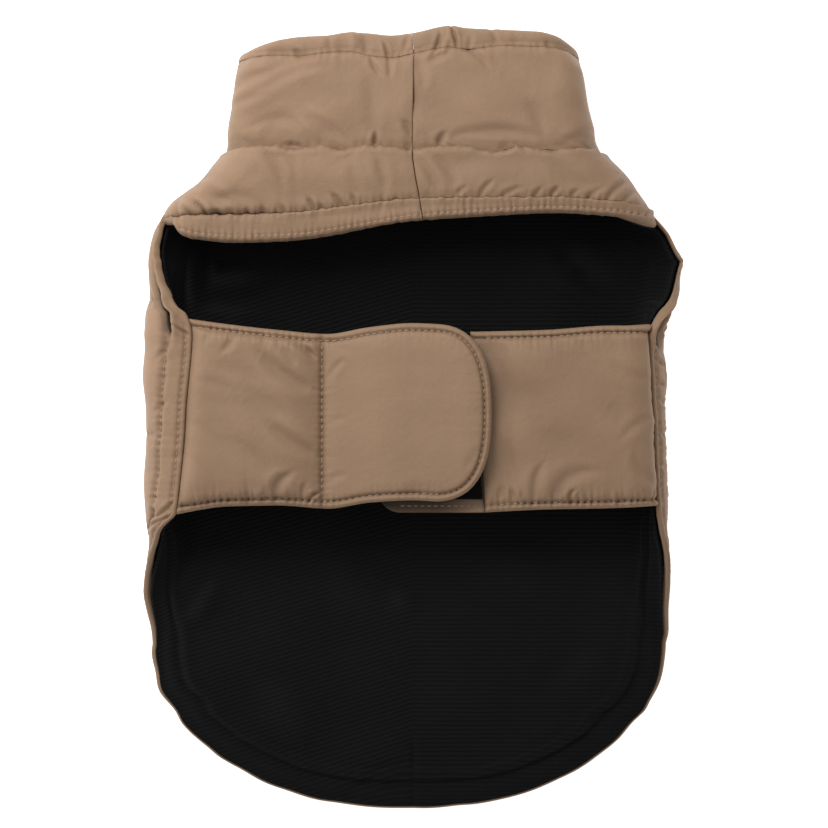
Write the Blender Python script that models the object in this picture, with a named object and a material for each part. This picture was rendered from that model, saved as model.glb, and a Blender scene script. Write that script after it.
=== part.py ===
"""Padded dog coat, laid on its back with its belly side up and its belly band closed.

Tables and sizes are in millimetres and degrees. +X is to the right of the laid coat, +Y runs
from its tail to its neck and +Z is up from the surface it lies on. Every piece is a wall on one
common form: a tube with a flat underside, round sides and a flat top, open at the leg gap and
running out into the flat tail. A place on the form is a station along the coat, a side, and a
wrap: how far it lies past the point where the side leaves the surface below.
"""

import math

import bmesh
import bpy
import numpy as np

MM = 0.001
SEAM_GAP = 0.3
# Wider where the seam runs over the shoulder or round the rim, so that facets stay clear.
SHOULDER_GAP = 0.6
LAYER_GAP = 0.4

BACK_THICK = 7.0
LINING_THICK = 1.0
# How far in the lining's edge lies, as a share of the panel's first step from its edge.
LINING_INSET = 0.8
COLLAR_THICK = 8.0
CHEST_THICK = 8.0
BAND_THICK = 6.0
FLAP_THICK = 3.6
TAB_THICK = 2.4
PATCH_THICK = 1.0

EDGE_ROUND = 4.0
EDGE_LEAST = 0.4
HEM_WIDTH = 12.5
HEM_THICK = 2.6
HEM_ROUND = 1.3
HEM_DENT = 1.2

NECK_Y = 119.0
NECK_ARCH = 3.5
NECK_ARCH_REACH = 68.0
TAIL_Y = -103.0
TAIL_LENGTH = 74.5
TAIL_ROUNDNESS = {-1: 0.965, 1: 0.995}
TAIL_SPINE_END = -150.0
FAN_DEGREES = 90.0

# Plan reach to each side, height, how far each side turns up and over, and how far the left
# side then runs on along the top, for each section of the coat.
SECTION_COLUMNS = ("y", "left", "right", "height", "left_turn", "right_turn", "left_over")
SECTIONS = (
    (178, 75.5, 73.5, 35, 100, 100, 0.0),
    (163, 79.0, 75.5, 35, 100, 100, 0.0),
    (145, 79.3, 76.8, 36, 100, 100, 0.0),
    (126, 82.2, 81.4, 36, 100, 100, 0.0),
    (119, 85.2, 86.0, 36, 100, 100, 0.0),
    (108, 95.0, 97.5, 37, 100, 100, 0.0),
    (99, 106.0, 104.0, 37, 100, 100, 0.0),
    (90, 114.5, 111.0, 37, 104, 98, 0.0),
    (83, 118.0, 118.0, 36, 116, 94, 0.0),
    (73, 119.5, 123.4, 36, 122, 94, 0.0),
    (60, 120.2, 121.6, 36, 146, 98, 0.0),
    (50, 120.6, 118.0, 36, 170, 118, 0.0),
    (43, 121.0, 115.6, 36, 180, 136, 2.2),
    (37, 121.6, 114.3, 36, 180, 140, 4.0),
    (0, 121.6, 115.2, 36, 180, 136, 1.0),
    (-43, 121.2, 115.7, 36, 168, 127, 0.0),
    (-53, 120.5, 116.3, 36, 130, 110, 0.0),
    (-63, 120.8, 117.2, 36, 98, 92, 0.0),
    (-72, 122.8, 117.9, 36, 78, 76, 0.0),
    (-85, 122.6, 117.8, 36, 54, 54, 0.0),
    (-103, 119.6, 115.4, 36, 24, 24, 0.0),
)

# Quilt lines cross the back every 61 mm.
QUILT_LINES = (53.4, -7.6, -68.6)
QUILT_PITCH = 61.0
QUILT_PUFF = 1.6
QUILT_BLUNTNESS = 0.6
COLLAR_PUFF = 3.2
CHEST_PUFF = 4.8
BAND_PUFF = 3.2

CHEST_COLUMNS = 20

# Upper seam and lower edge of the chest's hem casing.
CHEST_HEM_COLUMNS = ("x", "seam", "edge")
CHEST_HEM = (
    (-113, 90.4, 88.6),
    (-107, 90.8, 86.0),
    (-99, 91.5, 81.6),
    (-80, 91.8, 79.0),
    (-55, 92.6, 80.3),
    (-28, 95.8, 85.2),
    (0, 98.9, 89.5),
    (30, 99.5, 91.7),
    (65, 99.6, 93.4),
    (90, 97.6, 91.7),
    (107, 93.5, 88.4),
)

FRONT_SEAM_COLUMNS = ("y", "x")
FRONT_SEAM = ((80, 6.5), (100, 3.0), (121, 0.0), (165, 0.6), (178, -1.4))

# Gathers that the hem casing draws into the chest.
GATHER_PITCH = 11.5
GATHER_DEPTH = 0.7

# Upper and lower edge of the belly band, left half with its flap and right half.
BAND_COLUMNS = ("x", "top", "bottom")
LEFT_BAND = (
    (-108, 45.8, -44.0),
    (-83, 42.2, -40.2),
    (-60, 39.6, -39.8),
    (-38, 37.8, -41.2),
    (-19, 40.8, -38.4),
    (0, 42.6, -37.4),
    (12, 42.2, -38.0),
)
RIGHT_BAND = (
    (28, 38.8, -43.2),
    (60, 39.6, -41.6),
    (90, 41.6, -41.0),
    (112, 41.6, -40.0),
)
LEFT_SEAM_TOP_X = -99.5
LEFT_SEAM_BOTTOM_X = -107.5
QUILT_X = -41.0
FLAP_START_X = 8.0
FLAP_REACH = 27.7
FLAP_POWER = 2.6
FLAP_LIFT = 4.4
RIGHT_START_TOP = (26.1, 38.4)
RIGHT_START_BOTTOM = (33.0, -42.5)
TAB_START_X = -15.5
TAB_Y = (-43.0, 33.0)
LOOP_START_X = -10.0
LOOP_Y = (-37.0, 28.0)
HOOK_X = (-8.0, 26.0)
HOOK_Y = (-26.0, 28.0)
TAB_DEPTH = 2.7

# Lower seam and upper edge of the rim's casing, over the coat's front and against its back.
RIM_COLUMNS = ("x", "seam", "edge")
RIM_FRONT = (
    (-76, 161.0, 165.4),
    (-66, 163.0, 169.6),
    (-51, 163.4, 172.2),
    (-38, 165.0, 173.0),
    (-28, 165.3, 174.4),
    (-19, 163.4, 173.8),
    (-10, 162.6, 172.9),
    (0, 164.4, 174.0),
    (17, 167.4, 177.3),
    (25, 166.5, 176.2),
    (40, 168.0, 175.5),
    (60, 167.4, 174.3),
    (73, 163.6, 168.6),
)
RIM_BACK_Y = 159.0
RIM_BACK_HEIGHT = (4.5, 9.0)

# Where the drawn-in rim of the collar is pinched, and how deeply.
RIM_PINCH_COLUMNS = ("x", "depth")
RIM_PINCHES = (
    (-63, 1.4),
    (-50, 2.2),
    (-33, 1.0),
    (-13, 2.4),
    (4, 1.2),
    (25, 2.0),
    (44, 1.2),
    (60, 1.8),
)
RIM_PINCH_WIDTH = 3.2

COLOURS = {
    "shell": (0.33, 0.225, 0.15),
    "lining": (0.006, 0.006, 0.007),
    "tape": (0.008, 0.008, 0.009),
}


def column(table, names, name):
    return np.array([row[names.index(name)] for row in table], float)


def smooth(xs, ys, at):
    """Monotone cubic curve through the points, held level past both ends."""
    slope = np.diff(ys) / np.diff(xs)
    product = slope[:-1] * slope[1:]
    total = np.where(product > 0, slope[:-1] + slope[1:], 1.0)
    inner = np.where(product > 0, 2 * product / total, 0.0)
    tangent = np.concatenate([slope[:1], inner, slope[-1:]])
    at = np.clip(at, xs[0], xs[-1])
    i = np.clip(np.searchsorted(xs, at, side="right") - 1, 0, len(xs) - 2)
    step = xs[i + 1] - xs[i]
    t = (at - xs[i]) / step
    rise = (3 - 2 * t) * t * t
    start = ys[i] * (1 - rise) + ys[i + 1] * rise
    return start + step * t * (1 - t) * (tangent[i] * (1 - t) - tangent[i + 1] * t)


def table_curve(table, names, name, at):
    order = np.argsort(column(table, names, names[0]))
    xs = column(table, names, names[0])[order]
    return smooth(xs, column(table, names, name)[order], at)


def section(name, y):
    return table_curve(SECTIONS, SECTION_COLUMNS, name, y)


def ramp(value, start, end):
    t = np.clip((value - start) / (end - start), 0, 1)
    return (3 - 2 * t) * t * t


def fullness(distance, width=EDGE_ROUND):
    """Share of its thickness that a wall has this far from its rounded edge."""
    t = np.clip(distance / width, 0, 1)
    return EDGE_LEAST + (1 - EDGE_LEAST) * np.sqrt(1 - (1 - t) ** 2)


def dent(distance, at, width):
    return np.exp(-(((distance - at) / width) ** 2))


# The common form


def side_values(station, side):
    """Reach, side radius and turn of a rib. A station is -y down to the tail, then a fan angle."""
    y = -np.minimum(station, -TAIL_Y)
    left = side < 0
    reach = np.where(left, section("left", y), section("right", y))
    turn = np.radians(np.where(left, section("left_turn", y), section("right_turn", y)))
    fan = np.radians(np.maximum(station + TAIL_Y, 0))
    turn = turn * np.cos(np.minimum(fan * 2.5, math.pi / 2)) ** 2
    return reach, section("height", y) / 2, turn, fan


def rib(station, side):
    """Foot on the spine, direction, flat length, side radius and turn of a rib, seen in plan."""
    reach, radius, turn, fan = side_values(station, side)
    y = -np.minimum(station, -TAIL_Y)
    foot_y = y + (TAIL_SPINE_END - TAIL_Y) * np.sin(fan)
    power = np.where(side < 0, TAIL_ROUNDNESS[-1], TAIL_ROUNDNESS[1])
    out = np.sign(np.cos(fan)) * np.abs(np.cos(fan)) ** power
    tip = np.stack([side * reach * out, y - TAIL_LENGTH * np.sin(fan) ** power], -1)
    foot = np.stack([np.zeros_like(foot_y), foot_y], -1)
    length = np.linalg.norm(tip - foot, axis=-1)
    direction = (tip - foot) / length[..., None]
    flat = length - radius * np.sin(np.minimum(turn, math.pi / 2))
    return foot, direction, flat, radius, turn


def form_point(station, side, wrap):
    foot, direction, flat, radius, _ = rib(station, side)
    angle = np.clip(wrap / radius, 0, math.pi)
    over = np.maximum(wrap - math.pi * radius, 0)
    out = flat + np.minimum(wrap, 0) + radius * np.sin(angle) - over
    xy = foot + direction * out[..., None]
    return np.concatenate([xy, (radius * (1 - np.cos(angle)))[..., None]], -1)


def form(station, side, wrap):
    """Points of the outer form, and its normals, which point out of the coat."""
    station, side, wrap = np.broadcast_arrays(
        np.asarray(station, float), np.asarray(side, float), np.asarray(wrap, float)
    )
    step = 0.02
    along = form_point(station + step, side, wrap) - form_point(station - step, side, wrap)
    across = form_point(station, side, wrap + step) - form_point(station, side, wrap - step)
    normal = -side[..., None] * np.cross(along, across)
    size = np.linalg.norm(normal, axis=-1, keepdims=True)
    flat = size < 1e-9
    normal = np.where(flat, np.array([0.0, 0.0, -1.0]), normal / np.where(flat, 1.0, size))
    return form_point(station, side, wrap), normal


def wrap_at(x, y, side):
    """Wrap of the place on the form's upper half that lies at x, y in plan."""
    reach, radius, _, _ = side_values(-y, side)
    inset = reach - side * x
    angle = math.pi - np.arcsin(np.clip(1 - inset / radius, 0, 1))
    return np.where(inset < radius, radius * angle, math.pi * radius + inset - radius)


def edge_wrap(station, side):
    """Wrap of the back panel's own edge."""
    _, radius, turn, _ = side_values(station, side)
    over = np.where(side < 0, section("left_over", -station), 0.0)
    return radius * turn + over


def edge_x(y, side, gap):
    """Plan x, on the form's upper half, of a line this far past the back panel's edge."""
    reach, radius, _, _ = side_values(-y, np.full_like(y, side))
    wrap = edge_wrap(-y, side) + gap
    inset = radius * (1 - np.sin(np.minimum(wrap / radius, math.pi)))
    return side * (reach - inset - np.maximum(wrap - math.pi * radius, 0))


def on_top(x, y, side):
    return form(-y, side, wrap_at(x, y, side))


# Bodies


def fabric(name):
    material = bpy.data.materials.new(name)
    material.use_nodes = True
    shader = material.node_tree.nodes["Principled BSDF"]
    shader.inputs["Base Color"].default_value = (*COLOURS[name], 1.0)
    shader.inputs["Roughness"].default_value = 0.75
    shader.inputs["Metallic"].default_value = 0.0
    return material


def grid_faces(rows, columns, start, flip):
    faces = []
    for i in range(rows - 1):
        for j in range(columns - 1):
            a = start + i * columns + j
            b = a + columns
            pair = ((a, b, b + 1), (a, b + 1, a + 1))
            faces += [face[::-1] for face in pair] if flip else pair
    return faces


def wall(name, outer, inner, material, zipped=False):
    """Closed body between two grids of points. A zipped wall's last row meets itself."""
    rows, columns = outer.shape[:2]
    count = rows * columns
    points = np.concatenate([outer.reshape(-1, 3), inner.reshape(-1, 3)]) * MM
    faces = grid_faces(rows, columns, 0, False) + grid_faces(rows, columns, count, True)
    index = np.arange(count).reshape(rows, columns)
    border = [*index[:, 0][::-1], *index[0, 1:], *index[1:, -1]]
    if not zipped:
        border += [*index[-1, 1:-1][::-1], index[-1, 0]]
    for a, b in zip(border, border[1:]):
        faces += [(a, b, b + count), (a, b + count, a + count)]
    mesh = bpy.data.meshes.new(name)
    mesh.from_pydata(points.tolist(), [], [tuple(map(int, face)) for face in faces])
    shell = bmesh.new()
    shell.from_mesh(mesh)
    bmesh.ops.remove_doubles(shell, verts=shell.verts, dist=1e-7)
    bmesh.ops.recalc_face_normals(shell, faces=shell.faces)
    shell.to_mesh(mesh)
    shell.free()
    mesh.shade_smooth()
    mesh.set_sharp_from_angle(angle=math.radians(50))
    mesh.materials.append(material)
    body = bpy.data.objects.new(name, mesh)
    bpy.context.scene.collection.objects.link(body)
    return body


def padded(points, normals, thick, full, puff):
    """Outer and inner grid of a padded wall: plain inside, raised outside, thin at its edges."""
    lost = thick * (1 - full) / 2
    outer = points + normals * (puff - lost)[..., None]
    inner = points - normals * (thick - lost)[..., None]
    return outer, inner


# Back panel and its lining


def back_stations():
    spans = (
        (NECK_Y - SEAM_GAP, QUILT_LINES[0], (0, 0.03, 0.1, 0.2, 0.32, 0.44, 0.55, 0.66, 0.78, 0.92)),
        (QUILT_LINES[0], QUILT_LINES[1], (0, 0.08, 0.17, 0.27, 0.5, 0.73, 0.92)),
        (QUILT_LINES[1], QUILT_LINES[2], (0, 0.08, 0.27, 0.5, 0.6, 0.7, 0.8, 0.92)),
        (QUILT_LINES[2], TAIL_Y, (0, 0.12, 0.4, 0.7)),
    )
    ys = [start + (end - start) * share for start, end, shares in spans for share in shares]
    return np.concatenate([-np.array(ys), -TAIL_Y + np.linspace(0, FAN_DEGREES, 10)])


HEM_STEPS = (0.0, 1.2, 4.0, 8.5, HEM_WIDTH, 16.5)
BACK_STEPS = 7
STEP_GRADE = 1.35


def half_back(stations, side):
    """Distance in from the edge, and wrap, of each point of one half of the back panel."""
    _, _, flat, _, _ = rib(stations, np.full_like(stations, side))
    edge = edge_wrap(stations, side)
    reach = (flat + edge)[:, None]
    hem = np.broadcast_to(np.array(HEM_STEPS), (len(stations), len(HEM_STEPS)))
    share = (np.arange(1, BACK_STEPS + 1) / BACK_STEPS) ** STEP_GRADE
    distance = np.concatenate([hem, HEM_STEPS[-1] + (reach - HEM_STEPS[-1]) * share], 1)
    return distance, edge[:, None] - distance


def back_grid():
    """Station, side, wrap and distance from the edge over the whole back panel."""
    stations = back_stations()
    left, left_wrap = half_back(stations, -1)
    right, right_wrap = half_back(stations, 1)
    distance = np.concatenate([left, right[:, -2::-1]], 1)
    wrap = np.concatenate([left_wrap, right_wrap[:, -2::-1]], 1)
    side = np.ones_like(wrap)
    side[:, : left.shape[1]] = -1
    return np.broadcast_to(stations[:, None], wrap.shape), side, wrap, distance


def quilt_puff(y):
    """Relief of the quilting along the coat: high between two lines, low at each."""
    phase = (y - QUILT_LINES[0]) / QUILT_PITCH
    return np.abs(np.sin(math.pi * phase)) ** QUILT_BLUNTNESS - QUILT_BLUNTNESS


def hem_thickness(distance):
    """The panel's thickness: its hem is pressed thin, and the filling starts inside it."""
    return HEM_THICK + (BACK_THICK - HEM_THICK) * ramp(distance, 1, HEM_WIDTH + 6)


def back_walls(station, side, wrap, distance):
    """Points, normals, fullness, outer relief and inner dent of the back panel."""
    points, normals = form(station, side, wrap)
    from_neck = station + NECK_Y - SEAM_GAP
    full = np.minimum(fullness(distance, HEM_ROUND), fullness(from_neck))
    raised = ramp(wrap, 4, 22)
    hem = dent(distance, HEM_WIDTH, 2.2)
    relief = raised * (QUILT_PUFF * quilt_puff(points[..., 1]) * ramp(distance, 6, 18) - HEM_DENT * hem)
    return points, normals, full, relief, HEM_DENT * hem * (1 - 0.5 * raised)


def make_back(shell, lining):
    """The back panel, and its lining on the panel's inner points but for the row at the neck seam."""
    station, side, wrap, distance = back_grid()
    points, normals, full, relief, dented = back_walls(station, side, wrap, distance)
    outer, inner = padded(points, normals, hem_thickness(distance), full, relief)
    inner += normals * dented[..., None]
    wall("back_panel", outer, inner, shell, zipped=True)
    for points in (inner, normals):
        points[:, 0] += LINING_INSET * (points[:, 1] - points[:, 0])
        points[:, -1] += LINING_INSET * (points[:, -2] - points[:, -1])
    face = (inner - normals * LAYER_GAP)[1:]
    back = (inner - normals * (LAYER_GAP + LINING_THICK))[1:]
    wall("back_lining", face, back, lining, zipped=True)


# Collar and its casing


RING_RUNS = (11, 6, 7, 6, 11)


def ring_places():
    """Run and share along it of each point round the tube, from the centre front and back to it."""
    runs = []
    for run, count in enumerate(RING_RUNS):
        last = run == len(RING_RUNS) - 1
        shares = np.linspace(0, 1, count + 1)
        runs += [(run, share) for share in (shares if last else shares[:-1])]
    return runs


def front_seam_x(y):
    """Plan line of the seam that runs down the centre front."""
    return table_curve(FRONT_SEAM, FRONT_SEAM_COLUMNS, "x", y)


def ring_grid(low, high, levels, gap):
    """Points and normals round the tube between two heights, which are functions of the place."""
    places = ring_places()
    run = np.array([place[0] for place in places])
    share = np.array([place[1] for place in places])
    top_share = np.where(run == 0, 1 - share, np.where(run == 4, share, 0.0))
    level = np.array(levels)[:, None]
    front = np.isin(run, (0, 4))
    side = np.where((run < 2) | ((run == 2) & (share < 0.5)), -1.0, 1.0)
    arc = np.where(run == 1, 1 - share, share)
    frontness = np.where(front, 1.0, np.where(run == 2, 0.0, ramp(arc, 0.1, 1)))
    bottom = np.abs(share - 0.5) * 2
    x = np.zeros((len(levels), len(run)))
    side = np.broadcast_to(side, x.shape)
    for _ in range(4):
        y = low(x, frontness) * (1 - level) + high(x, frontness) * level
        _, _, flat, radius, _ = rib(-y, side)
        to_seam = flat - side * front_seam_x(y) - gap / 2
        wrap = np.select(
            [front, np.isin(run, (1, 3))],
            [math.pi * radius + top_share * to_seam, math.pi * radius * arc],
            -(1 - bottom) * flat,
        )
        x = form_point(-y, side, wrap)[..., 0]
    points, normals = form(-y, side, wrap)
    return points, normals, y


def neck_line(x, front):
    """Seam between the collar and the pieces below it, which arches across the front."""
    return NECK_Y + front * NECK_ARCH * ramp(NECK_ARCH_REACH - np.abs(x), 0, 35)


def rim_front(name, x):
    return table_curve(RIM_FRONT, RIM_COLUMNS, name, x)


def rim_seam_line(x, front):
    return RIM_BACK_Y + front * (rim_front("seam", x) - RIM_BACK_Y)


def rim_line(x, front):
    low, high = RIM_BACK_HEIGHT
    back = RIM_BACK_Y + low + (high - low) * ramp(72 - np.abs(x), 0, 30)
    return back + front * (rim_front("edge", x) - back)


def pinches(x, z):
    """Depth of the rim's pinches at a place on its upper face."""
    depth = np.zeros_like(x)
    places = column(RIM_PINCHES, RIM_PINCH_COLUMNS, "x")
    depths = column(RIM_PINCHES, RIM_PINCH_COLUMNS, "depth")
    for place, deep in zip(places, depths):
        depth += deep * dent(x, place, RIM_PINCH_WIDTH)
    return depth * ramp(z, 12, 30)


def front_distance(points):
    """Distance of each point round the ring from the centre front seam, on the coat's front."""
    across = np.abs(points[..., 0] - front_seam_x(points[..., 1]))
    return np.where(points[..., 2] > 20, across, 50.0)


def make_collar(shell):
    levels = (0, 0.04, 0.12, 0.28, 0.5, 0.72, 0.88, 0.96, 1)

    def low(*place):
        return neck_line(*place) + SEAM_GAP / 2

    def high(*place):
        return rim_seam_line(*place) - SEAM_GAP / 2

    points, normals, y = ring_grid(low, high, levels, SEAM_GAP)
    to_edge = np.minimum(y - y[:1], y[-1:] - y)
    to_front = front_distance(points)
    raised = ramp(points[..., 2], 2, 18)
    puff = raised * COLLAR_PUFF * np.sqrt(np.clip(to_edge / 22, 0, 1)) * (0.6 + 0.4 * ramp(to_front, 0, 9))
    puff -= 0.5 * pinches(points[..., 0], points[..., 2]) * ramp(y, 140, 162)
    full = np.minimum(fullness(to_edge), fullness(to_front, 3))
    outer, inner = padded(points, normals, COLLAR_THICK, full, puff)
    wall("collar", outer, inner, shell)


def make_casing(shell):
    levels = (0, 0.1, 0.35, 0.7, 0.9, 1)

    def low(*place):
        return rim_seam_line(*place) + SHOULDER_GAP / 2

    points, normals, y = ring_grid(low, rim_line, levels, SEAM_GAP)
    to_edge = np.minimum(y - y[:1], y[-1:] - y)
    depth = pinches(points[..., 0], points[..., 2])
    puff = ramp(points[..., 2], 2, 18) * ramp(to_edge, 0, 4) - 0.45 * depth
    full = np.minimum(fullness(to_edge, 3.5), fullness(front_distance(points), 3))
    outer, inner = padded(points, normals, COLLAR_THICK, full, puff)
    drop = 0.8 * depth * ramp(y, y[:1], y[-1:])
    outer[..., 1] -= drop
    inner[..., 1] -= drop
    wall("collar_casing", outer, inner, shell)


# Chest


def chest_grid(side, upper, lower, levels, columns):
    """Points between two lines across the chest, from the side seam in to the front seam."""
    share = np.linspace(0, 1, columns) ** 1.15
    level = np.array(levels)[:, None]
    x = side * 80.0 * (1 - share) * np.ones_like(level)
    y = np.full_like(x, 100.0)
    for _ in range(4):
        y = upper(x) * (1 - level) + lower(x) * level
        seam = front_seam_x(y) + side * SEAM_GAP / 2
        x = edge_x(y, side, SHOULDER_GAP) * (1 - share) + seam * share
    return x, y


def chest_neck_line(x):
    return neck_line(x, 1) - SHOULDER_GAP / 2


def chest_seam_line(x):
    return table_curve(CHEST_HEM, CHEST_HEM_COLUMNS, "seam", x)


def chest_edge_line(x):
    return table_curve(CHEST_HEM, CHEST_HEM_COLUMNS, "edge", x)


def gathers(x):
    return np.cos(x * 2 * math.pi / GATHER_PITCH)


def place_name(side):
    return "left" if side < 0 else "right"


def make_chest(side, shell):
    def lower(x):
        return chest_seam_line(x) + SHOULDER_GAP / 2

    levels = (0, 0.06, 0.18, 0.38, 0.6, 0.8, 0.94, 1)
    x, y = chest_grid(side, chest_neck_line, lower, levels, CHEST_COLUMNS)
    points, normals = on_top(x, y, side)
    to_edge = np.minimum(y[:1] - y, y - y[-1:])
    to_front = np.abs(x - x[:, -1:])
    to_side = np.abs(x - x[:, :1]) + 0.4
    full = np.minimum(fullness(to_edge), np.minimum(fullness(to_front, 3), fullness(to_side)))
    puff = CHEST_PUFF * np.sqrt(np.clip(to_edge / 11, 0, 1)) * ramp(to_side, 0, 14)
    puff *= 0.75 + 0.25 * ramp(to_front, 0, 8)
    puff -= GATHER_DEPTH * gathers(x) * ramp(y, y[:1], y[-1:]) * ramp(to_edge, 0.5, 5)
    outer, inner = padded(points, normals, CHEST_THICK, full, puff)
    wall(f"chest_{place_name(side)}", outer, inner, shell)


def make_chest_hem(side, shell):
    def upper(x):
        return chest_seam_line(x) - SHOULDER_GAP / 2

    levels = (0, 0.12, 0.4, 0.7, 0.9, 1)
    x, y = chest_grid(side, upper, chest_edge_line, levels, CHEST_COLUMNS)
    points, normals = on_top(x, y, side)
    to_edge = np.minimum(y[:1] - y, y - y[-1:])
    to_front = np.abs(x - x[:, -1:])
    to_side = np.abs(x - x[:, :1]) + 0.4
    full = np.minimum(fullness(to_edge, 3), np.minimum(fullness(to_front, 3), fullness(to_side)))
    puff = (0.9 - GATHER_DEPTH * gathers(x)) * ramp(to_edge, 0, 2.5)
    outer, inner = padded(points, normals, BAND_THICK, full, puff)
    wall(f"chest_hem_{place_name(side)}", outer, inner, shell)


# Belly band


EDGE_STEPS = np.array((0.0, 1.2, 3.6, 8.0))


def rows_between(bottom, top, count):
    """Heights from one edge to the other, close together beside both edges."""
    span = (top - bottom)[None, :]
    low = bottom[None, :] + EDGE_STEPS[:, None]
    high = top[None, :] - EDGE_STEPS[::-1, None]
    share = np.linspace(0, 1, count + 2)[1:-1, None]
    middle = low[-1:] + (span - 2 * EDGE_STEPS[-1]) * share
    return np.concatenate([low, middle, high])


def band_line(table, name, x):
    return table_curve(table, BAND_COLUMNS, name, x)


def make_left_band(shell):
    seam = (LEFT_SEAM_TOP_X + LEFT_SEAM_BOTTOM_X) / 2
    body = seam + (FLAP_START_X - seam) * np.array(
        (0, 0.012, 0.035, 0.08, 0.18, 0.3, 0.42, 0.51, 0.555, 0.59, 0.63, 0.72, 0.86, 1.0)
    )
    turn = np.radians(np.array((15, 30, 45, 57, 67, 75, 81)))
    power = 2 / FLAP_POWER
    x = np.concatenate([body, FLAP_START_X + FLAP_REACH * np.sin(turn) ** power])
    narrow = np.concatenate([np.ones_like(body), np.cos(turn) ** power])
    top, bottom = band_line(LEFT_BAND, "top", x), band_line(LEFT_BAND, "bottom", x)
    middle = (top + bottom) / 2
    half = (top - bottom) / 2 * narrow
    y = rows_between(middle - half, middle + half, 4)
    x = np.broadcast_to(x, y.shape)
    slant = LEFT_SEAM_TOP_X - LEFT_SEAM_BOTTOM_X
    place = (FLAP_START_X - x) / (FLAP_START_X - seam)
    x = x + np.clip(place, 0, 1) * slant * y / (top - bottom).mean()
    x = np.maximum(x, edge_x(y, -1, SEAM_GAP))
    points, normals = on_top(x, y, -1)
    lift = FLAP_LIFT * ramp(x, QUILT_X - 14, QUILT_X + 26)
    thick = BAND_THICK + (FLAP_THICK - BAND_THICK) * ramp(x, QUILT_X - 3, QUILT_X + 12)
    to_edge = np.minimum(y - y[:1], y[-1:] - y)
    to_seam = x - x[:, :1]
    to_tip = FLAP_START_X + FLAP_REACH - x
    full = np.minimum(fullness(to_edge, 3), np.minimum(fullness(to_seam + 0.4), fullness(to_tip, 3)))
    puff = BAND_PUFF * ramp(to_edge, 2, 16) * ramp(to_seam, 0, 16) * (1 - ramp(x, QUILT_X - 14, QUILT_X))
    puff += 0.9 * ramp(to_edge, 3, 14) * ramp(x, QUILT_X, QUILT_X + 14)
    puff -= 1.0 * dent(x, QUILT_X, 1.8)
    raised = points + normals * lift[..., None]
    outer, inner = padded(raised, normals, thick, full, puff)
    wall("belly_band_left", outer, inner, shell)


def right_start_x(y):
    """Plan line of the right band's seam to the tab, which slants."""
    (top_x, top_y), (bottom_x, bottom_y) = RIGHT_START_TOP, RIGHT_START_BOTTOM
    return bottom_x + (top_x - bottom_x) * (y - bottom_y) / (top_y - bottom_y)


def make_right_band(shell):
    share = np.array((0, 0.012, 0.04, 0.1, 0.2, 0.35, 0.5, 0.65, 0.78, 0.86, 0.92, 0.965, 1.0))
    x = 30 + 80 * share
    y = rows_between(band_line(RIGHT_BAND, "bottom", x), band_line(RIGHT_BAND, "top", x), 4)
    start, end = right_start_x(y), edge_x(y, 1, SEAM_GAP)
    x = start + (end - start) * share
    points, normals = on_top(x, y, 1)
    to_edge = np.minimum(y - y[:1], y[-1:] - y)
    to_start = x - x[:, :1]
    to_seam = np.abs(end - x) + 0.4
    full = np.minimum(fullness(to_edge, 3), np.minimum(fullness(to_seam), fullness(to_start)))
    puff = BAND_PUFF * ramp(to_edge, 2, 16) * ramp(to_seam, 0, 14) * ramp(to_start, 6, 22)
    outer, inner = padded(points, normals, BAND_THICK, full, puff)
    wall("belly_band_right", outer, inner, shell)


def flat_piece(name, start, end, y_range, depth, thick, round_end, material):
    """Flat piece on the band's own surface, this deep under it, round at its left end. Its right
    end is a plan line."""
    share = np.array((0, 0.04, 0.1, 0.2, 0.35, 0.55, 0.78, 1.0))
    middle = np.array([(y_range[0] + y_range[1]) / 2])
    inset = np.clip(round_end - (end(middle) - start) * share, 0, round_end)
    half = (y_range[1] - y_range[0]) / 2 - round_end + np.sqrt(round_end**2 - inset**2 + 1e-9)
    y = middle + half[None, :] * np.linspace(-1, 1, 7)[:, None]
    x = start + (end(y) - start) * share
    points, normals = on_top(x, y, 1)
    outer = points - normals * depth
    wall(name, outer, outer - normals * thick, material)


def tab_end(y):
    return right_start_x(y) - 0.5


def loop_end(y):
    return right_start_x(y) - 1.5


def hook_end(y):
    return np.full_like(y, HOOK_X[1])


def make_closure(shell, tape):
    flat_piece("band_tab", TAB_START_X, tab_end, TAB_Y, TAB_DEPTH, TAB_THICK, 10.0, shell)
    depth = TAB_DEPTH - LAYER_GAP - PATCH_THICK
    flat_piece("loop_patch", LOOP_START_X, loop_end, LOOP_Y, depth, PATCH_THICK, 4.0, tape)
    depth -= LAYER_GAP + PATCH_THICK
    flat_piece("hook_patch", HOOK_X[0], hook_end, HOOK_Y, depth, PATCH_THICK, 4.0, tape)


def clear_scene():
    for thing in list(bpy.data.objects):
        bpy.data.objects.remove(thing, do_unlink=True)


def main():
    clear_scene()
    shell, lining, tape = fabric("shell"), fabric("lining"), fabric("tape")
    make_back(shell, lining)
    make_collar(shell)
    make_casing(shell)
    for side in (-1, 1):
        make_chest(side, shell)
        make_chest_hem(side, shell)
    make_left_band(shell)
    make_right_band(shell)
    make_closure(shell, tape)


main()
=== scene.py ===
"""Looks of a padded dog coat, laid on its back with its belly side up and its belly band closed.

Tables and sizes are in millimetres and degrees, and points become metres where a mesh is made.
+X is to the right of the laid coat, +Y runs from its tail to its neck and +Z is up. The form is
the one that the CAD solids lie on: a tube with a flat underside, round sides and a flat top, open
at the leg gap and running out into the flat tail. A place on it is a station along the coat, a
side, and a wrap: how far it lies past the point where the side leaves the surface below.
"""

import functools
import math

import bmesh
import bpy
import numpy as np
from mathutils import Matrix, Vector
from mathutils.bvhtree import BVHTree

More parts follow.
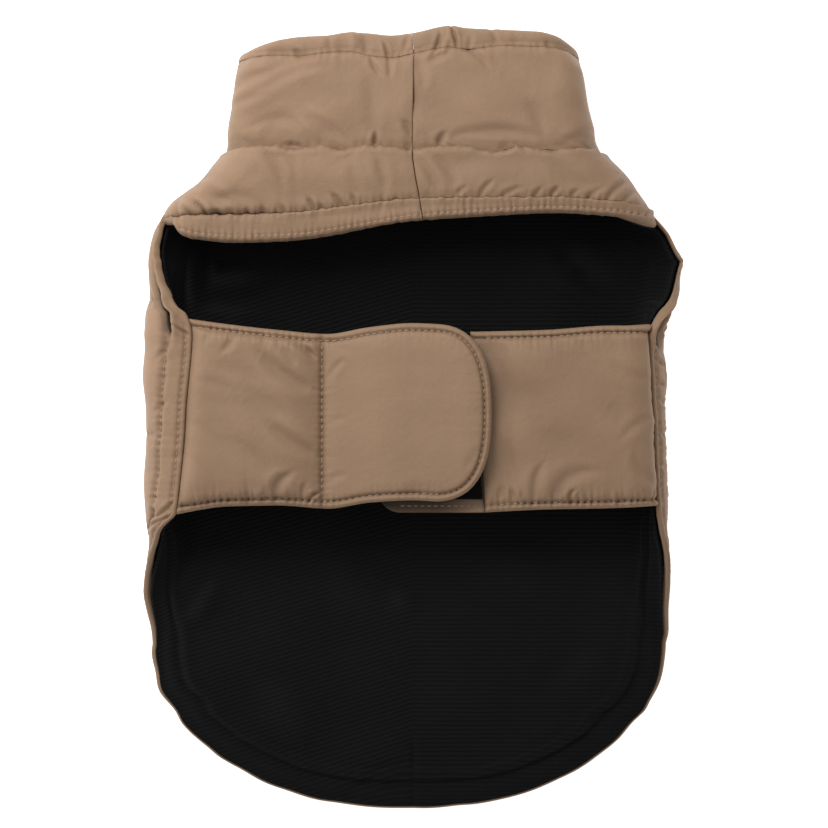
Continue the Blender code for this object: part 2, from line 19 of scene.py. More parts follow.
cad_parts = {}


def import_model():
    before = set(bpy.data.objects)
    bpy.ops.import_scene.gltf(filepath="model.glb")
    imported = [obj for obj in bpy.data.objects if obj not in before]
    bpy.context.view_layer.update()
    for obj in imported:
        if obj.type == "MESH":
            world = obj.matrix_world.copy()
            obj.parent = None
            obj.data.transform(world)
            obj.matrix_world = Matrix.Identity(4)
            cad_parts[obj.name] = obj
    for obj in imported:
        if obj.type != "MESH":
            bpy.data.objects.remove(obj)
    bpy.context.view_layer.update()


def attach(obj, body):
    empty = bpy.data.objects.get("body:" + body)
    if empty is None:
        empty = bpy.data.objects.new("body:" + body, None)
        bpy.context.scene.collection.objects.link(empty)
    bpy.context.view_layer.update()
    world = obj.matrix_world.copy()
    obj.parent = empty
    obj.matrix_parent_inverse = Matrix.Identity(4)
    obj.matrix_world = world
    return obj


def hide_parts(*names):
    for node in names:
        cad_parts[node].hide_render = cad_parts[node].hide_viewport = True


MM = 0.001
SEAM_GAP = 0.12
LAYER_GAP = 0.4

BACK_THICK = 7.0
LINING_THICK = 1.0
COLLAR_THICK = 8.0
CHEST_THICK = 8.0
BAND_THICK = 6.0
FLAP_THICK = 3.6
TAB_THICK = 2.4
PATCH_THICK = 1.0

EDGE_ROUND = 4.0
EDGE_LEAST = 0.15
HEM_WIDTH = 12.5

NECK_Y = 119.0
TAIL_Y = -103.0
TAIL_LENGTH = 74.5
TAIL_ROUNDNESS = {-1: 0.965, 1: 0.995}
TAIL_SPINE_END = -150.0
FAN_DEGREES = 90.0

# Plan reach to each side, height, how far each side turns up and over, and how far the left
# side then runs on along the top, for each section of the coat.
SECTIONS = (
    ("y", "left", "right", "height", "left_turn", "right_turn", "left_over"),
    (178, 75.5, 73.5, 35, 100, 100, 0.0),
    (163, 79.0, 75.5, 35, 100, 100, 0.0),
    (145, 79.3, 76.8, 36, 100, 100, 0.0),
    (126, 82.2, 81.4, 36, 100, 100, 0.0),
    (119, 85.2, 86.0, 36, 100, 100, 0.0),
    (108, 95.0, 97.5, 37, 100, 100, 0.0),
    (99, 106.0, 104.0, 37, 100, 100, 0.0),
    (90, 114.2, 111.0, 37, 104, 98, 0.0),
    (83, 117.3, 116.8, 36, 116, 94, 0.0),
    (78, 118.4, 119.2, 36, 119, 94, 0.0),
    (74, 118.9, 121.3, 36, 121, 94, 0.0),
    (70.7, 119.2, 123.2, 36, 126, 94, 0.0),
    (67.5, 119.4, 122.2, 36, 132, 95, 0.0),
    (60, 120.2, 120.4, 36, 146, 98, 0.0),
    (50, 120.9, 118.0, 36, 170, 118, 0.0),
    (47, 121.0, 116.6, 36, 179, 127, 1.0),
    (43, 121.0, 115.6, 36, 180, 136, 2.4),
    (37, 121.6, 114.3, 36, 180, 140, 4.0),
    (0, 121.6, 115.2, 36, 180, 136, 1.0),
    (-43, 121.2, 115.7, 36, 168, 127, 0.0),
    (-50, 120.6, 115.3, 36, 141, 115, 0.0),
    (-56, 119.3, 116.0, 36, 119, 104, 0.0),
    (-63, 120.2, 117.2, 36, 98, 92, 0.0),
    (-72, 122.4, 117.9, 36, 78, 76, 0.0),
    (-80, 123.1, 117.7, 36, 63, 62, 0.0),
    (-86, 122.2, 117.5, 36, 52, 52, 0.0),
    (-97, 119.9, 117.3, 36, 33, 33, 0.0),
    (-103, 119.4, 116.0, 36, 24, 24, 0.0),
)

# How far the tail's edge lies outside its curve, at degrees round its fan.
FAN_SHIFTS = (
    ("fan", "left", "right"),
    (0, 0.0, 0.0),
    (8, 0.3, 0.4),
    (16, 1.1, 0.5),
    (24, -0.6, 0.3),
    (29, 0.0, -0.6),
    (38, 0.3, 0.2),
    (50, 0.9, 1.2),
    (60, 1.9, 2.0),
    (68, 2.3, 2.4),
    (78, 1.7, 1.6),
    (90, 1.0, 1.0),
)

# Quilt lines cross the back every 61 mm.
QUILT_LINES = (53.4, -7.6, -68.6)
QUILT_PITCH = 61.0
QUILT_PUFF = 1.9
QUILT_BLUNTNESS = 0.55
COLLAR_PUFF = 3.4
CHEST_PUFF = 4.8
BAND_PUFF = 3.0

# Upper seam and lower edge of the chest's hem casing.
CHEST_HEM = (
    ("x", "seam", "edge"),
    (-113, 90.4, 88.8),
    (-109, 90.6, 87.2),
    (-106, 90.9, 83.2),
    (-99, 91.5, 80.8),
    (-80, 91.8, 79.0),
    (-55, 92.6, 79.9),
    (-28, 95.8, 83.7),
    (0, 98.9, 88.4),
    (30, 99.5, 90.8),
    (65, 99.6, 92.4),
    (90, 97.6, 91.0),
    (107, 93.5, 88.4),
)

# Seam between the collar and the chest, over the coat's front, where the chest swells up over it.
NECK_FRONT = (
    ("x", "y"),
    (-86, 119.0),
    (-76, 121.0),
    (-65, 122.6),
    (-53, 121.4),
    (-41, 122.8),
    (-31.6, 120.8),
    (-21, 122.8),
    (-10, 122.2),
    (0, 121.0),
    (12, 122.3),
    (24, 122.4),
    (36, 119.6),
    (47, 122.2),
    (60, 121.0),
    (72, 120.8),
    (86, 119.0),
)

FRONT_SEAM = (("y", "x"), (80, 6.5), (100, 3.0), (121, 0.0), (165, 0.6), (178, -1.4))

# Upper and lower edge of the belly band, left half with its flap and right half.
LEFT_BAND = (
    ("x", "top", "bottom"),
    (-108, 45.8, -44.0),
    (-83, 42.2, -40.2),
    (-60, 39.6, -39.8),
    (-38, 37.8, -41.2),
    (-19, 40.8, -38.4),
    (0, 42.6, -37.4),
    (12, 42.2, -38.0),
)
RIGHT_BAND = (
    ("x", "top", "bottom"),
    (28, 38.8, -43.2),
    (60, 39.6, -41.6),
    (90, 41.6, -41.0),
    (112, 41.6, -40.0),
)

QUILT_X = -41.0
FLAP_START_X = 8.0
FLAP_REACH = 27.7
FLAP_POWER = 2.6
FLAP_LIFT = 4.8
RIGHT_START_TOP = (26.1, 38.4)
RIGHT_START_BOTTOM = (33.0, -42.5)
TAB_START_X = -15.5
TAB_Y = (-43.0, 33.0)
LOOP_START_X = -10.0
LOOP_Y = (-37.0, 28.0)
HOOK_X = (-8.0, 26.0)
HOOK_Y = (-26.0, 28.0)
TAB_DEPTH = 2.7

# Lower seam and upper edge of the rim's casing, over the coat's front and against its back.
RIM_FRONT = (
    ("x", "seam", "edge"),
    (-76, 163.2, 167.2),
    (-66, 163.6, 169.8),
    (-51, 163.4, 172.2),
    (-38, 165.0, 173.0),
    (-28, 165.3, 174.4),
    (-19, 163.4, 173.8),
    (-10, 162.6, 172.9),
    (0, 164.4, 174.0),
    (17, 167.4, 177.3),
    (25, 166.5, 176.2),
    (40, 168.0, 175.5),
    (58, 167.6, 174.6),
    (66, 167.2, 174.0),
    (73, 166.2, 171.9),
)
RIM_BACK_Y = 159.0
RIM_BACK_HEIGHT = (4.5, 9.0)

# Soft troughs pressed into a face, as x0, y0, x1, y1, bow, width and depth: from and to in plan, how
# far the middle bows out, how wide and how deep. Each lifts a low ridge along both sides, and one of
# less than no depth is a ridge.
COLLAR_CREASES = (
    (-78.4, 146.1, -63.9, 156.1, 1.5, 2.2, 0.5),
    (-79.3, 138.8, -66.6, 145.2, 1, 2, 0.35),
    (-70.7, 131.5, -46.6, 126.1, 6.5, 2.6, 0.5),
    (-77.9, 140.6, -40.0, 160.5, 5.0, 1.8, -0.25),
    (-73.5, 137.6, -36.0, 156.5, 4.0, 2.2, -0.2),
    (-69.5, 124.5, -60.0, 137.5, 2.0, 2.0, -0.2),
    (-49.3, 136.1, -32.5, 124.8, 1, 2.4, 0.55),
    (-47.5, 141.0, -28.0, 126.5, 1, 1.6, -0.3),
    (-37.5, 134.3, -27.5, 123.4, 0.5, 1.8, 0.4),
    (-58.4, 123.0, -49.3, 121.8, 0.6, 1.2, 0.5),
    (-16.6, 128.8, -17.0, 122.9, 0, 1.1, 1),
    (-4.3, 134.3, -0.2, 127.0, 0.5, 1.8, 0.8),
    (-18.9, 162.5, -14.3, 154.3, -0.6, 1.3, 0.7),
    (-19.8, 155.2, -18.4, 127.9, 0.8, 3.4, 0.35),
    (-11.1, 162.5, -10.2, 153.4, 0.3, 1.2, 0.5),
    (7.5, 160.7, 15.7, 164.3, 0.6, 1.6, 0.6),
    (23.0, 167.5, 34.3, 158.8, 0.8, 1.5, 0.6),
    (12.5, 121.6, 15.2, 128.9, 1.2, 1.6, 0.9),
    (13.4, 125.5, 59.0, 126.6, 3.6, 2.3, 0.55),
    (20.2, 127.0, 43.0, 124.8, 0.2, 0.9, -0.3),
    (52.5, 142.5, 59.3, 127.0, 1, 3, 0.5),
    (65.2, 147.9, 72.5, 136.1, -1, 2.6, 0.4),
    (39.8, 156.1, 56.1, 147.9, -2, 3.4, 0.3),
    (2.5, 161.6, 5.2, 147.9, 0.4, 2, 0.4),
    (-82.0, 131.6, -72.9, 123.4, -0.6, 2.2, 0.5),
    (67.0, 123.4, 81.6, 127.0, 1.4, 2.2, 0.5),
    (-51.1, 151.6, -27.5, 146.1, -2.4, 4.2, 0.3),
)
RIM_CREASES = (
    (17.5, 177.0, 20.2, 167.0, 0.3, 0.9, 1.5),
    (12.6, 173.8, 9.4, 164.5, 0.8, 1.1, 1.2),
    (16.0, 173.0, 13.5, 164.0, 0.6, 1.0, -0.5),
    (35.0, 176.1, 38.4, 169.8, 0.2, 1.3, 0.6),
    (-13.0, 169.5, -10.7, 161.6, 0.3, 0.9, 1.2),
    (-27.5, 174.5, -26.5, 166.0, 0.3, 1.8, -0.5),
    (-22.0, 173.0, -21.0, 164.0, 0.4, 1.7, 0.6),
    (-38.4, 172.5, -37.0, 167.1, 0.1, 1.4, 0.4),
    (-54.0, 166.3, -50.1, 162.8, 0.2, 1.3, 0.9),
    (60.6, 170.0, 61.2, 166.0, 0.1, 1.0, 0.8),
    (26.2, 172.3, 25.2, 166.1, 0.3, 1.2, 0.5),
    (-64.8, 167.8, -62.0, 163.4, 0.2, 1.6, 0.3),
    (45.4, 173.2, 47.3, 168.8, 0.1, 1.6, 0.3),
    (-2.0, 172.5, -3.9, 166.1, 0.1, 1.1, 0.5),
)
CHEST_CREASES = (
    (-66.6, 120.7, -58.2, 105.4, 1.2, 2.4, 0.8),
    (-61.0, 119.0, -52.0, 110.0, 1.6, 2.4, 0.5),
    (-98.5, 105.5, -84.0, 102.0, 0.8, 1.8, -0.7),
    (-96.0, 99.0, -81.5, 97.6, 0.6, 1.8, 0.6),
    (-27.5, 100.5, -25.5, 95.8, 0.2, 1.1, 0.8),
    (9.5, 118.5, 21.5, 103.5, 0.8, 2.2, 0.5),
    (62.0, 114.0, 84.0, 104.5, -1.5, 3.2, 0.5),
    (-16.1, 117.0, -12.0, 103.4, 0.4, 2.2, 0.6),
    (-27.5, 113.4, -23.9, 100.7, -0.5, 2.4, 0.3),
    (-98.4, 97.0, -92.4, 90.2, 0.6, 1.3, 1.8),
    (-103.5, 94.0, -100.0, 90.6, 0.3, 1.0, 1.2),
    (-89.8, 93.6, -84.6, 89.8, 0.3, 1.1, 1.6),
    (-95.0, 93.0, -88.0, 91.2, 0.2, 0.9, 1.0),
    (-47.5, 98.9, -44.2, 93.0, 0.4, 1.2, 1.2),
    (-42.0, 96.1, -39.3, 91.6, 0.2, 1.1, 0.6),
    (-36.5, 101.0, -31.1, 93.8, 0.5, 1.3, 1.1),
    (-12.0, 95.2, -6.6, 98.4, 0.3, 1.3, 0.5),
    (1.5, 117.0, 13.0, 101.6, 0.8, 2, 0.7),
    (30.0, 99.0, 36.0, 107.0, 0.6, 1.3, 0.6),
    (62.0, 99.0, 66.0, 104.0, 0.4, 1.2, 0.8),
    (39.8, 99.3, 49.3, 103.9, 0.6, 1.3, 0.6),
    (54.8, 99.3, 58.4, 103.9, 0.3, 1.1, 0.6),
    (71.1, 99.8, 75.2, 102.9, 0.3, 1.2, 0.6),
    (78.4, 97.9, 85.2, 103.4, 0.5, 1.3, 0.5),
    (87.9, 98.4, 95.2, 106.1, 0.8, 1.4, 0.8),
    (94.3, 97.0, 102.5, 103.4, 0.6, 1.4, 0.7),
    (36.1, 121.1, 47.9, 122.9, 0.5, 1.6, 1),
    (54.3, 122.9, 70.7, 117.0, 0.8, 1.8, 0.5),
    (-51.1, 123.4, -41.1, 121.6, 0.4, 1.6, 0.7),
    (-33.9, 122.5, -28.4, 121.1, 0.2, 1.3, 0.8),
    (-81.1, 114.3, -68.4, 108.9, -1, 3.4, 0.4),
    (17.0, 111.6, 48.9, 114.3, 2, 4, 0.25),
    (80.7, 113.4, 94.3, 107.9, -1, 3, 0.3),
    (-84.8, 100.7, -68.4, 97.0, 1, 2.4, 0.4),
    (19.8, 100.7, 24.3, 104.3, 0.2, 1.2, 0.5),
    (-60.2, 96.1, -56.6, 91.1, 0.2, 1.2, 0.6),
    (-68.4, 95.2, -65.7, 90.2, 0.2, 1.2, 0.7),
    (-75.7, 94.3, -73.9, 90.2, 0.2, 1.1, 0.6),
    (-83.9, 94.3, -81.6, 90.2, 0.2, 1.2, 0.6),
)
LEFT_BAND_CREASES = (
    (-79.8, 38.0, -85.7, 29.8, 0.6, 1.8, 0.6),
    (-91.1, 40.7, -93.9, 33.4, 0.3, 1.6, 0.4),
    (-59.3, 31.6, -52.9, 22.5, 0.6, 2, 0.6),
    (-49.3, 30.7, -43.9, 25.7, 0.4, 1.7, 0.5),
    (-68.4, 37.0, -65.7, 30.7, 0.3, 1.6, 0.4),
    (-89.3, 23.4, -68.4, 15.2, 1.6, 3.6, 0.4),
    (-77.5, 7.0, -56.6, -8.4, 2.4, 3.8, 0.45),
    (-92.9, -1.1, -75.7, -13.0, 1.5, 3.4, 0.35),
    (-55.4, -25.2, -62.4, -37.5, -2.2, 2.4, 1.2),
    (-48.4, -29.5, -50.0, -36.1, -0.4, 1.3, 0.5),
    (-42.0, -33.9, -46.5, -37.8, -1.0, 0.9, 1.3),
    (-66.5, -31.0, -66.0, -37.0, 0.3, 1.3, 0.6),
    (-100.4, -1.5, -78.6, -19.5, 1.0, 3.0, 0.4),
    (-85.2, -9.1, -62.5, -26.1, 1.5, 3.4, 0.5),
    (-76.7, 12.7, -54.0, -1.5, 1.2, 3.2, 0.5),
    (-68.2, 28.8, -45.5, 12.7, -1.5, 3.4, 1.3),
    (-64.4, -3.4, -43.5, -16.6, -1.0, 3.0, 1.1),
    (-98.4, 17.5, -81.6, 12.5, 0.8, 2.6, 0.3),
    (-54.0, 33.5, -44.5, 27.5, 1.0, 1.6, 1.0),
    (-98.4, -18.4, -88.4, -33.9, 0.8, 2.8, 0.35),
)
FLAP_CREASES = (
    (-39.0, 16.5, -31.5, 26.0, 0.6, 1.5, 0.6),
    (-39.3, -3.0, -31.1, -0.2, 0.4, 1.8, 0.35),
    (-39.3, -29.3, -30.2, -25.7, 0.5, 1.6, 0.45),
    (-36.6, 33.4, -27.5, 29.8, -0.4, 2, 0.35),
    (-6.6, -34.8, 10.7, -32.0, 0.8, 2.4, 0.35),
    (24.3, -23.0, 29.8, -14.8, 0.5, 2.2, 0.3),
    (-19.3, 8.0, 8.0, 12.5, 2, 5, 0.2),
)
RIGHT_BAND_CREASES = (
    (58.7, -21.0, 55.7, -37.5, -1.8, 2.2, 1.0),
    (82.9, -24.0, 62.6, -38.4, -4.8, 3.2, 1.1),
    (73.9, -32.0, 72.5, -39.8, -2.3, 1.0, 1.3),
    (44.3, -32.0, 45.7, -37.5, 0.2, 1.0, 0.9),
    (40.5, -30.0, 39.0, -37.0, 0.4, 1.6, 0.8),
    (49.0, -33.0, 49.6, -37.5, 0.1, 0.8, 0.6),
    (78.0, -34.0, 78.8, -38.5, 0.2, 0.9, 0.6),
    (110.2, 1.1, 94.9, -8.6, -1.4, 2.3, 0.6),
    (99.9, -15.0, 110.3, -31.3, -2.7, 2.2, 0.7),
    (88.7, 24.3, 108.0, 17.0, -1.4, 2.6, 0.5),
    (87.5, 5.0, 97.5, -3.0, 0.5, 4.0, 0.5),
    (39.8, 33.4, 42.5, 25.2, 0.3, 1.8, 0.4),
    (61.6, 36.1, 69.8, 31.6, 0.4, 1.6, 0.4),
    (72.5, 37.0, 79.8, 30.7, 0.4, 1.6, 0.5),
    (87.0, 39.8, 92.5, 32.5, 0.3, 1.6, 0.4),
    (47.0, 12.5, 61.6, 6.1, 1.6, 4.2, 0.3),
    (39.8, -10.2, 45.2, -23.9, 0.8, 2.6, 0.35),
    (57.9, -8.4, 76.1, -13.0, 1.4, 3.6, 0.3),
)

# Distance of the hem's second stitch row from the panel's edge.
EDGE_ROW = 3.0

# How far up the coat the hem's two stitch rows run: the inner one on each side, and the outer one.
HEM_END = {-1: 36.0, 1: 86.0}
EDGE_ROW_END = 41.0

# Folds in the hem at the sides of the leg gap, as creases are given, but with places as y and
# the distance in from the edge.
LEFT_HEM_FOLDS = (
    (37.0, 1.0, 42.5, 8.6, 0.4, 0.8, 1.5),
    (46.0, 2.0, 52.0, 4.0, 0.4, 1.0, 0.5),
    (-38.0, 2.0, -45.0, 9.0, 0.6, 1.1, 1.4),
    (-45.0, 3.0, -50.0, 12.0, 0.8, 1.3, 1.0),
    (33.0, 11.0, 27.0, 16.0, 0.5, 1.4, 0.9),
    (8.0, 9.0, 3.0, 16.0, 0.4, 1.3, 0.7),
)
RIGHT_HEM_FOLDS = (
    (38.0, 4.5, 52.0, 6.5, 0.6, 1.2, 2.0),
    (44.0, 8.0, 55.0, 4.0, -0.5, 1.1, 1.6),
    (53.0, 2.5, 62.0, 8.0, 0.4, 1.2, 1.2),
    (70.0, 1.5, 74.0, 9.0, 0.3, 1.2, 1.2),
    (41.0, 9.0, 38.0, 15.0, 0.4, 1.4, 1.2),
    (26.0, 3.0, 24.0, 10.0, 0.3, 1.1, 1.3),
    (16.0, 3.0, 15.0, 9.0, 0.3, 1.2, 1.1),
    (8.0, 4.0, 6.0, 11.0, 0.3, 1.1, 1.0),
    (-8.0, 3.0, -7.0, 10.0, 0.3, 1.2, 1.1),
    (-22.0, 4.0, -24.0, 10.0, 0.3, 1.2, 0.8),
)

# The fold that runs along the hem beside each leg: distance in from the edge, and strength.
LEG_FOLDS = (
    ("y", "left", "left_depth", "right", "right_depth"),
    (30, 10.0, 0.0, 5.0, 0.0),
    (36, 9.9, 0.3, 4.0, 0.9),
    (42, 9.6, 1.3, 3.4, 1.2),
    (49, 7.3, 1.4, 4.0, 1.2),
    (58, 4.4, 1.3, 5.2, 0.7),
    (64, 3.4, 1.2, 6.0, 0.2),
    (71, 2.8, 1.0, 6.0, 0.0),
    (84, 2.0, 0.4, 6.0, 0.0),
)

HEM_TURN = 3.5
LINING_INSET = 1.0
LINING_FOLDS = (
    (-89.8, -73.9, -103.0, -93.9, 1.0, 3.6, 1.4),
    (-92.0, 74.0, -90.5, 46.0, 1.0, 2.6, 2.4),
    (-102.5, 72.0, -101.0, 44.0, -0.6, 2.2, 2.0),
    (-84.0, 72.0, -83.5, 44.0, 0.8, 3.2, 2.2),
    (-74.0, 68.0, -75.5, 46.0, 0.8, 3.0, 1.4),
    (-70.0, -120.0, -52.0, -150.0, 3.0, 7.0, 0.7),
    (-9.0, -76.0, -6.5, -90.0, 0.5, 2.0, 1.5),
    (66.0, 77.0, 82.0, 57.0, -1.0, 2.6, -1.1),
    (73.0, 82.0, 92.0, 60.0, -1.0, 5.0, 0.7),
    (62.0, -128.0, 84.0, -104.0, -3.0, 7.0, 0.6),
    (30.0, -70.0, 60.0, -84.0, 4.0, 9.0, 0.5),
    (-40.0, -66.0, -12.0, -92.0, -4.0, 9.0, 0.5),
)
RIB_SLANT = 0.3

# Where the chest doesn't swell over the neck seam: x, half width and depth of each pocket.
NECK_POCKETS = (
    (-53.9, 3.6, 0.8),
    (-16.6, 1.8, 1.2),
    (-2.2, 2.2, 1.0),
    (42.0, 2.6, 0.4),
    (-34.0, 3.0, 0.6),
    (62.0, 4.0, 0.4),
)

HEM_ROW = 2.8
CASING_ROW = 1.8
FLAP_ROW = 3.0
BAND_ROW = 3.2

# Folds that stitching draws up: how far they lean, and each width as a multiple of the pitch,
# with its share of the depth.
PUCKER_LEAN = 0.35
PUCKER_SCALES = ((1, 1.5), (2, 1.2), (4, 0.9))

# Seed, pitch, depth and length of the puckers that each seam or stitch row draws up.
PUCKERS = {
    "quilt": (11, 4.5, 0.9, 9),
    "hem": (12, 3.2, 0.9, 5),
    "edge": (13, 3.2, 0.5, 3),
    "lining": (22, 7, 0.7, 6),
    "neck": (31, 4.0, 0.5, 7),
    "rim": (32, 3.6, 0.7, 6),
    "casing": (32, 3.6, 0.6, 4),
    "chest_seam": (41, 3.2, 1.0, 6),
    "chest_hem": (41, 3.2, 1.2, 6),
    "chest_neck_left": (43, 5, 0.5, 5),
    "chest_neck_right": (45, 5, 0.5, 5),
    "left_band": (62, 3.0, 1.0, 6),
    "flap_line": (63, 3.2, 0.5, 4.5),
    "right_band": (72, 3.0, 1.0, 6),
    "right_seam": (73, 5, 0.6, 6),
    "tab": (81, 3.6, 0.3, 3.5),
}
# Seed, depth and length of the pinches at each row's needle holes.
PINCHES = {
    "hem": (14, 0.6, 3.0),
    "edge": (15, 0.25, 2.0),
    "chest_hem": (54, 0.7, 2.4),
    "left_band": (64, 0.9, 3.2),
    "flap_line": (65, 0.6, 2.6),
    "right_band": (74, 0.9, 3.2),
}
# Seed, size and height of each piece's slow swell.
SWELLS = {
    "back": (3, 34, 0.7),
    "lining": (21, 46, 0.6),
    "collar": (5, 34, 0.5),
    "casing": (6, 18, 0.4),
    "chest_left": (7, 28, 0.5),
    "chest_right": (9, 28, 0.5),
    "left_band": (61, 34, 0.3),
    "right_band": (71, 34, 0.6),
    "nap": (91, 3.0, 0.08),
}
# Depth and width of the groove that each row presses, and of the shallower ones underneath.
GROOVES = {
    "hem": (1.3, 1.4),
    "edge": (0.5, 0.8),
    "quilt_below": (0.7, 1.1),
    "hem_below": (0.5, 1.2),
    "collar_below": (0.3, 1.0),
    "casing": (0.2, 0.7),
    "chest_hem": (0.5, 0.8),
    "band": (1.0, 0.75),
    "flap_line": (1.2, 1.1),
    "tab": (0.35, 0.7),
}
# Seed and pitch of each waver along a line.
WAVERS = {
    "leg_edge": (17, 7),
    "leg_edge_fine": (18, 3),
    "tail_edge": (19, 13),
    "rim_seam": (34, 10),
    "chest_gathers": (42, 9),
    "chest_gape": (47, 5),
    "chest_join": (48, 4),
}
# Seeds of the strays of each gathered seam.
NECK_STRAY = 33
CHEST_STRAY = 35
CHEST_HEM_STRAY = 37

# Set between the runs of both sides, and of both rows of the right band, so that their noise differs.
SIDE_SHIFT = 500
ROW_SHIFT = 300

NOISE_REACH = 2700.0
PINCH_KINDS = 997
SWELL_WAVES = 7
FORM_STEP = 0.02
SOLVE_STEPS = 4
SHARP_DEGREES = 70.0
MERGE_DISTANCE = 1e-7
WALL_STEPS = {"side": 52, "back": 66}
FRONT_HALF = 60
FRONT_HEIGHT = 20.0
FAR = 50.0

# Length that each grid is spaced for, its widest step and, where it isn't 0.3, its finest one.
GRIDS = {
    "collar_height": (44, 1.0),
    "casing_height": (9, 0.6, 0.25),
    "chest_width": (108, 0.5),
    "chest_height": (26, 0.8),
    "left_band_width": (140, 0.5),
    "left_band_height": (82, 0.85),
    "right_band_width": (78, 0.5),
    "right_band_height": (82, 0.9),
    "tab_width": (45, 1.0),
}

# How far the creases below the collar and its rim are moved aside from those above.
COLLAR_ASIDE = 6.0
RIM_ASIDE = 4.0

# A seam at a piece's side counts as this far off, so that the wall keeps some thickness there.
SEAM_LIP = 0.3

TAB_CORNER = 10.0
PATCH_CORNER = 4.0
LOOP_GAP = 0.8
# Strength of the painted shade in the fold beside each leg.
LEG_SHADE = 6.5
STITCH_SIDES = 6
CAP_QUADS = (((0, 5, 4, 3), (3, 4, 5, 0)), ((0, 3, 2, 1), (1, 2, 3, 0)))
RAY_REACH = 14.0

# How deep the threads of each piece's rows are sunk into its cloth.
SUNK = {"back": 0.08, "casing": 0.4, "chest_hem": 0.12, "band": 0.0, "tab": 0.15}

STITCH_PITCH = 3.0
HEM_THICK = 2.6
WALL_LEAST = 0.3

# One stitch: the needle hole that the thread comes out of, then the thread, arched over the cloth
# and sunk again at its end. Its tint is painted shade, darkest where the thread goes down into a hole.
STITCH = (
    ("along", "radius", "height", "tint"),
    (-0.42, 0.06, -0.30, -1.0),
    (-0.28, 0.27, -0.25, -1.0),
    (0.00, 0.31, -0.24, -1.0),
    (0.28, 0.27, -0.25, -1.0),
    (0.40, 0.18, -0.12, -0.8),
    (0.58, 0.25, 0.02, -0.2),
    (0.95, 0.27, 0.13, 0.0),
    (1.50, 0.27, 0.18, 0.0),
    (2.05, 0.27, 0.13, 0.0),
    (2.42, 0.25, 0.02, -0.2),
    (2.58, 0.10, -0.20, -0.8),
)

SHELL_COLOUR = (0.295, 0.185, 0.113)
THREAD_COLOUR = (0.36, 0.24, 0.155)
LINING_COLOUR = (0.0048, 0.0048, 0.0051)
TAPE_COLOUR = (0.0025, 0.0025, 0.0027)

CAMERA_PLACE = (0.00068, 0.00159, 3.018)
PHOTO_DISTANCE = 3000
PHOTO_WIDTH = 376.3
CLIP_RANGE = (0.1, 20.0)
SENSOR = 36.0
WHITE = (1.0, 1.0, 1.0, 1.0)
FLOOR_COLOUR = (0.97, 0.97, 0.97)
FLOOR_REACH = 3000
FLOOR_LINES = 9
FLOOR_DROP = 0.05
# Glow of the floor: painted light that fills the coat's shadow on it.
FLOOR_GLOW = 0.8
WORLD_STRENGTH = 0.5
LIGHT_AIM = (0.0, 0.0, 0.02)

# Place, size and power of each lamp, in metres and watts.
LIGHTS = {
    "key": ((-0.23, 0.43, 0.47), 0.35, 2.75),
    "left": ((-0.9, 0.22, 0.35), 0.5, 2.05),
}


def column(table, name):
    """Values of one column of a table, whose first row names its columns."""
    names, *rows = table
    return np.array([row[names.index(name)] for row in rows], float)


def eased(t):
    return (3 - 2 * t) * t * t


def smooth(xs, ys, at):
    """Monotone cubic curve through the points, held level past both ends."""
    slope = np.diff(ys) / np.diff(xs)
    multiplied = slope[:-1] * slope[1:]
    total = np.where(multiplied > 0, slope[:-1] + slope[1:], 1.0)
    inner = np.where(multiplied > 0, 2 * multiplied / total, 0.0)
    tangent = np.concatenate([slope[:1], inner, slope[-1:]])
    at = np.clip(at, xs[0], xs[-1])
    i = np.clip(np.searchsorted(xs, at, side="right") - 1, 0, len(xs) - 2)
    step = xs[i + 1] - xs[i]
    t = (at - xs[i]) / step
    share = eased(t)
    start = ys[i] * (1 - share) + ys[i + 1] * share
    return start + step * t * (1 - t) * (tangent[i] * (1 - t) - tangent[i + 1] * t)


def table_curve(table, name, at):
    """Smooth curve of one column against the table's first one."""
    xs = column(table, table[0][0])
    order = np.argsort(xs)
    return smooth(xs[order], column(table, name)[order], at)


def section(name, y):
    return table_curve(SECTIONS, name, y)


def ramp(value, start, end):
    return eased(np.clip((value - start) / (end - start), 0, 1))


def lowest(*values):
    return functools.reduce(np.minimum, values)


def unit(vectors):
    return vectors / np.linalg.norm(vectors, axis=-1, keepdims=True)


def rise(distance, width):
    """Rise from 0 to 1 that is steepest at the start and levels off smoothly."""
    return np.tanh(np.maximum(distance, 0) / width)


def fullness(distance, width=EDGE_ROUND, least=EDGE_LEAST):
    """Share of its thickness that a wall has this far from its rounded edge."""
    t = np.clip(distance / width, 0, 1)
    return least + (1 - least) * np.sqrt(1 - (1 - t) ** 2)


def dent(distance, at, width):
    return np.exp(-(((distance - at) / width) ** 2))


def wavy(at, seed, pitch):
    """Noise along a line, from -1 to 1, that swings over once in about each pitch."""
    draw = np.random.default_rng(seed)
    count = int(2 * NOISE_REACH / pitch)
    knots = (np.arange(count) + draw.uniform(-0.35, 0.35, count)) * pitch - NOISE_REACH
    return smooth(knots, draw.uniform(0.2, 1.0, count) * (-1.0) ** np.arange(count), at)


def spaced(length, coarse, fine=0.3, growth=1.4, both=True):
    """Places from 0 to length, close together at the start, and at the end too where both is set."""
    count = int(math.log(coarse / fine) / math.log(growth)) + 1
    head = np.concatenate([[0.0], np.cumsum(fine * growth ** np.arange(count))])
    tail = length - head[::-1] if both else np.array([length])
    steps = max(round((tail[0] - head[-1]) / coarse), 1)
    return np.concatenate([head, np.linspace(head[-1], tail[0], steps + 1)[1:-1], tail])


def shares(length, *steps):
    """Shares of a length, close together at both of its ends."""
    return spaced(length, *steps) / length


def shifted(line, by):
    """A line across the coat, moved up the coat by this much."""
    return lambda *place: line(*place) + by


# The common form


def place_name(side):
    return "left" if side < 0 else "right"


